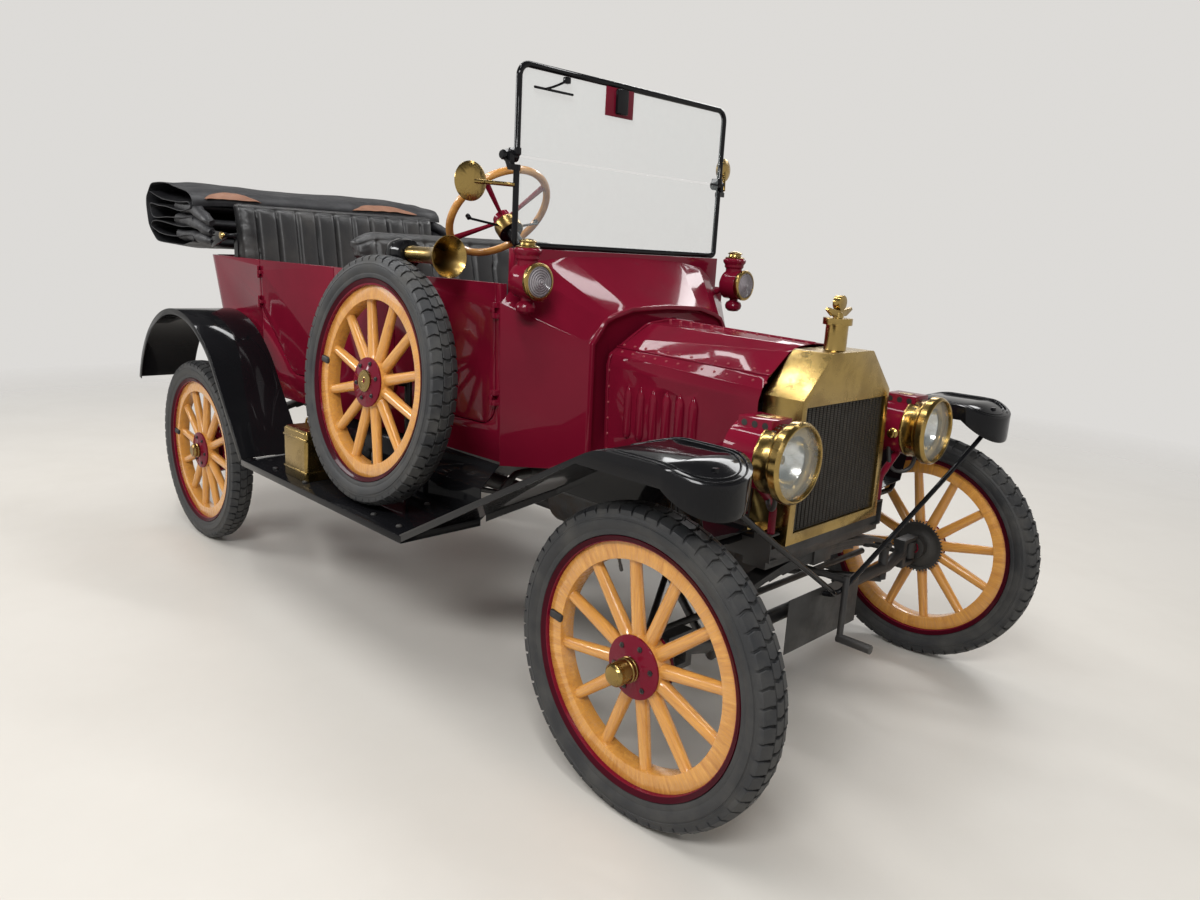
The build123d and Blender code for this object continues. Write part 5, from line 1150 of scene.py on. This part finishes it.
# Headlamps: reflectors, glass, pierced collars whose pinholes are dark discs of painted shade, vents that are dark
# discs of painted shade too, caps and knobs
bowl_depth = mm((78, -19), (76, -26), (64, -48), (45, -66), (20, -74.5), (0, -75.5))
reflector = mm((83.5, -17), (77.2, -18.2)) + [(radius * 0.985, depth + 0.0008) for radius, depth in bowl_depth]
burner = mm((0, -75), (6.5, -75), (6.5, -48), (10.5, -45.5), (11, -40), (6, -37), (0, -36.5))
head_glass = mm((0, -7), (88, -7), (88.4, 1), (80, 3.6), (60, 6.8), (30, 9.2), (0, 10))
collar = mm(
    (84.2, -69), (86.8, -68), (87.2, -64), (85.8, -61), (85.8, -33), (88, -29), (88, -24), (84.2, -21.5),
)
rim_bead = mm(
    (88.5, 9), (90.5, 11.6), (93.5, 11.2), (96.5, 8), (99.8, 3.5), (100.4, -2), (100.4, -13), (99, -15),
    (88, -21.5),
)
# the vents and the collars' pinholes are dark discs laid on the metal: painted shade where the holes are
vent_shade_disc = mm((0, 0), (8.4, 0), (8.4, 0.7), (0, 0.7))
pinhole_shade_disc = mm((0, 0), (2.3, 0), (2.3, 0.6), (0, 0.6))
gas_run = mm(
    (-50, 0, -78), (-48, 0, -112), (-70, -20, -138), (-100, -45, -130), (-108, -52, -80), (-110, -54, -40),
)
knob = mm((0, 0), (14.5, 0), (15, 3), (12, 6), (8, 8), (8, 13), (11.5, 15), (12, 21), (9.5, 24), (0, 24.5))
for hand, side in hands:
    at = along((headlamp_x, side * headlamp_y, headlamp_z), (1, 0, 0))
    cutter = lathe([(0.0, -0.0150), (0.0780, -0.0150)] + bowl_depth, at, steps=64)
    use_modifier(made_skins["lamp_bodies"], "BOOLEAN", operation="DIFFERENCE", object=cutter, solver="EXACT")
    bpy.data.objects.remove(cutter)
    smooth(made_skins["lamp_bodies"], 32)
    turned(f"headlamp_burner_{hand}", old_brass, burner, at, 24)
    bowl = lathe(reflector, at, steps=64)
    use_modifier(bowl, "SOLIDIFY", thickness=0.0008, offset=0)
    smooth(bowl, 50)
    place_piece(bowl, f"headlamp_reflector_{hand}", silver)
    glass = turned(f"headlamp_glass_{hand}", lens_glass, head_glass, at, 64, 50)
    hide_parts("lamp_lenses")
    ring = lathe(collar + collar[:1], at, steps=72)
    bead = lathe(rim_bead, at, steps=72)
    use_modifier(bead, "SOLIDIFY", thickness=0.0008, offset=-1)
    ring = joined(ring, bead)
    smooth(ring, 30)
    place_piece(ring, f"headlamp_collar_{hand}", brass)
    holes, aside = [], spin(90, "Y")
    for number in range(9):
        turn = spin(-40 + number * 10)
        holes.append(at @ (turn @ Matrix.Translation((0.0857, 0, -0.047)) @ aside))
        holes.append(at @ turn @ Matrix.Translation((0.0857, 0, -0.040)) @ aside)
    # painted shade for the collar's pinholes
    turned(f"headlamp_pinhole_shade_discs_{hand}", dark_iron, pinhole_shade_disc, holes, 10)
    vents, knobs = [], []
    for face in (-1, 1):
        for number in range(3):
            spot = (headlamp_x - 0.130 + number * 0.030, side * headlamp_y + face * 0.0418, headlamp_z + 0.0815)
            vents.append(along(spot, (0, face, 0)))
        spot = (headlamp_x - 0.085, side * headlamp_y + face * 0.083, headlamp_z - 0.012)
        knobs.append(along(spot, (0, face, 0)))
    # painted shade for the vent holes
    turned(f"headlamp_vent_shade_discs_{hand}", dark_iron, vent_shade_disc, vents, 16)
    line = [(headlamp_x + x, side * (headlamp_y + y), headlamp_z + z) for x, y, z in gas_run]
    place_piece(pipe(line, 0.0062, smoothing=10), f"headlamp_gas_pipe_{hand}", dark_iron)
    plate = brick((headlamp_x - 0.100, side * headlamp_y, headlamp_z + 0.0966), (0.038, 0.030, 0.0014), 0.0006)
    place_piece(plate, f"headlamp_blank_plate_{hand}", old_brass)
    turned(f"headlamp_knobs_{hand}", old_brass, knob, knobs, 24)

# Side lamps: ribbed glass and brass cowls on the chimneys
ribbed = mm((0, -5), (43.4, -5), (43.6, 0.4))
for number in range(6):
    outer = 0.0432 - number * 0.0069
    ribbed += [(outer, 0.0010 + number * 0.0012), (outer - 0.0015, 0.0048 + number * 0.0012),
               (outer - 0.0040, 0.0054 + number * 0.0012)]
ribbed += [(0.0, 0.0128)]
chimney_cap = mm(
    (0, 92.5), (34.5, 92.5), (35, 94.5), (30, 97.5), (22.5, 99), (21, 106), (26, 108), (26.2, 110), (18, 115),
    (8, 117), (0, 117.2),
)
for hand, side in hands:
    at = along((side_lamp_x, side * side_lamp_y, side_lamp_z), (1, 0, 0))
    glass = turned(f"side_lamp_glass_{hand}", ribbed_glass, ribbed, at, 56, 25)
    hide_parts("lamp_lenses")
    backing = lathe([(0.0, -0.0066), (0.0425, -0.0062), (0.0425, -0.0056), (0.0, -0.0059)], at, steps=40)
    place_piece(backing, f"side_lamp_reflector_{hand}", silver)
    top = along((side_lamp_x - 0.054, side * side_lamp_y, side_lamp_z), (0, 0, 1), (1, 0, 0))
    turned(f"side_lamp_cap_{hand}", brass, chimney_cap, top, 40, 35)

# Horn: brass bell, black motor and bracket
horn_at = along((0.5315, -0.612, 1.262), (1, 0, 0))
bell_profile = mm(
    (0, -199), (25.8, -199), (26.2, -190), (25, -186), (24.2, -150), (24, -100), (26.2, -70), (31, -48),
    (38.5, -30), (48, -14), (57.5, -3.5), (60.6, -0.8), (61, 0.8), (59.6, 1.2), (56, -2.4), (46.2, -14),
    (36.5, -31), (28.8, -50), (23, -75), (20, -100), (0, -101),
)
bell = turned("horn_bell_brass", brass, bell_profile, horn_at, 64, 50)
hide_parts("horn")
motor_profile = mm(
    (0, -289), (18, -288), (32, -284), (41, -276), (43.8, -265), (43.8, -248), (42.4, -246.5), (42.4, -235),
    (43.8, -233.5), (43.8, -218), (42, -206), (34, -201), (0, -200.8),
)
motor = lathe(motor_profile, horn_at)
strut_line = mm(
    (69.5, -537, 1195.5), (69.5, -537, 1232), (120, -568, 1245), (185, -604, 1262), (243, -612, 1262),
)
motor = joined(motor, pipe(strut_line, 0.0068, smoothing=8))
smooth(motor, 40)
place_piece(motor, "horn_motor", enamel)
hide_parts("horn")

# Windscreen: hinge knobs, wiper and a small box at the top; mirrors' faces
screen_x, hinge_x, hinge_z = 0.6425, 0.6265, 1.552
thumb_screw = mm((0, 0), (8.5, 0), (8.5, 6), (13, 8), (14, 13), (11, 18), (0, 19))
nuts = [along((hinge_x, side * 0.4905, hinge_z), (0, side, 0)) for side in (-1, 1)]
turned("screen_thumb_screws", enamel, thumb_screw, nuts, 20)
wiper_line = [(0.014, -0.300, 1.776), (0.016, -0.345, 1.752), (0.015, -0.380, 1.742)]
wiper_arm = pipe([(screen_x + x, y, z) for x, y, z in wiper_line], 0.0035, smoothing=6)
wiper_blade = brick((screen_x + 0.012, -0.345, 1.742), (0.006, 0.150, 0.007), 0.002)
wiper_pivot = brick((screen_x + 0.011, -0.296, 1.778), (0.016, 0.020, 0.018), 0.003)
wiper = joined(wiper_arm, wiper_blade, wiper_pivot)
place_piece(wiper, "screen_wiper", enamel, "upper_screen")
top_box = brick((screen_x + 0.014, -0.066, 1.752), (0.016, 0.046, 0.074), 0.004, 3)
place_piece(top_box, "screen_top_box", enamel, "upper_screen")
top_plate = brick((screen_x + 0.007, -0.069, 1.749), (0.004, 0.122, 0.084), 0.0015)
place_piece(top_plate, "screen_top_plate", maroon, "upper_screen")
mirror_x = screen_x - 0.034
for label, radius, place in (("right", 0.054, (mirror_x, -0.599, 1.472)), ("left", 0.040, (mirror_x, 0.530, 1.610))):
    face_profile = [(0.0, 0.0072), (radius - 0.0050, 0.0072), (radius - 0.0045, 0.0080), (radius - 0.0070, 0.0086),
                    (0.0, 0.0082)]
    turned(f"mirror_glass_{label}", silver, face_profile, along(place, (-1, 0, 0)))

# Steering gear's brass case
column_up = Vector((-cos(radians(41.7)), 0, sin(radians(41.7))))
wheel_middle = Vector((0.2185, -0.190, 1.410))
case_place = wheel_middle - column_up * 0.050
case_profile = mm(
    (42.4, -45.5), (44.2, -44), (44.6, -10), (43, -3), (40, 1), (33, 2.2), (32.6, 0.2), (42.4, -1),
    (42.4, -45.5),
)
turned("steering_gear_case", brass, case_profile, along(case_place, column_up, (0, 1, 0)), 56)

# The steering spider's arms are stouter than their solid, its middle is as it was
spider = made_skins["steering_spider"].data
moves = []
for vertex in spider.vertices:
    offset = vertex.co - wheel_middle
    reach = (offset - column_up * offset.dot(column_up)).length
    moves.append(vertex.normal * 0.0042 * ramp(reach, 0.052, 0.080))
for vertex, move in zip(spider.vertices, moves):
    vertex.co += move

# Blank number plate, its brackets, and the two stays from the fenders' noses
plate = brick((1.5025, 0, 0.341), (0.0022, 0.375, 0.158), 0.0009)
carriers = [brick((1.484, side * 0.10, 0.362), (0.037, 0.022, 0.005), 0.0015) for side in (-1, 1)]
hangers = [brick((1.4995, side * 0.10, 0.345), (0.004, 0.022, 0.040), 0.001) for side in (-1, 1)]
place_piece(joined(plate, *carriers, *hangers), "blank_number_plate", chassis)
stay_line = mm(
    (1618, 715, 884), (1620, 716, 852), (1621, 700, 822), (1596, 470, 680), (1548, 60, 436), (1540, 12, 406),
    (1520, 12, 400), (1503, 12, 398),
)
for hand, side in hands:
    stay = pipe([(x, side * y, z) for x, y, z in stay_line], 0.0075, smoothing=8)
    place_piece(stay, f"front_stay_{hand}", enamel)

# Fuel can: handle and bands
can_low, can_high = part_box("brass_can")
can_middle = [(a + b) / 2 for a, b in zip(can_low, can_high)]
handle_line = [(0.020, 0.660), (0.022, 0.682), (0.050, 0.6835), (0.078, 0.682), (0.080, 0.660)]
handle = pipe([(can_low[0] + x, can_middle[1], z) for x, z in handle_line], 0.0042, smoothing=10)
bands = [
    brick((can_middle[0], can_middle[1], height), (0.1640, 0.1520, 0.010), 0.0030, 3) for height in (0.520, 0.632)
]
place_piece(joined(handle, *bands), "can_handle_and_bands", old_brass)

# Hood pivots' brass knobs
pivot_knob = mm((0, 0), (10, 0), (11, 3), (14.5, 6), (15.5, 10), (13, 14.5), (0, 16))
knobs = [along((-1.0305, side * 0.6245, 1.280), (0, side, 0)) for side in (-1, 1)]
turned("hood_pivot_knobs", brass, pivot_knob, knobs, 24)

# Bolts of the running boards' irons
board_bolt = mm((0, 0), (9.5, 0), (9.5, 3.5), (7, 6), (0, 7.2))
board_bolt_spots = [(x, y) for x in (-0.24, -0.02, 0.42, 0.56) for y in (0.605, 0.795)]
for hand, side in hands:
    spots = [along((x, side * y, 0.4901), (0, 0, 1), (1, 0, 0)) for x, y in board_bolt_spots]
    turned("board_bolts_" + hand, dark_iron, board_bolt, spots, 12)
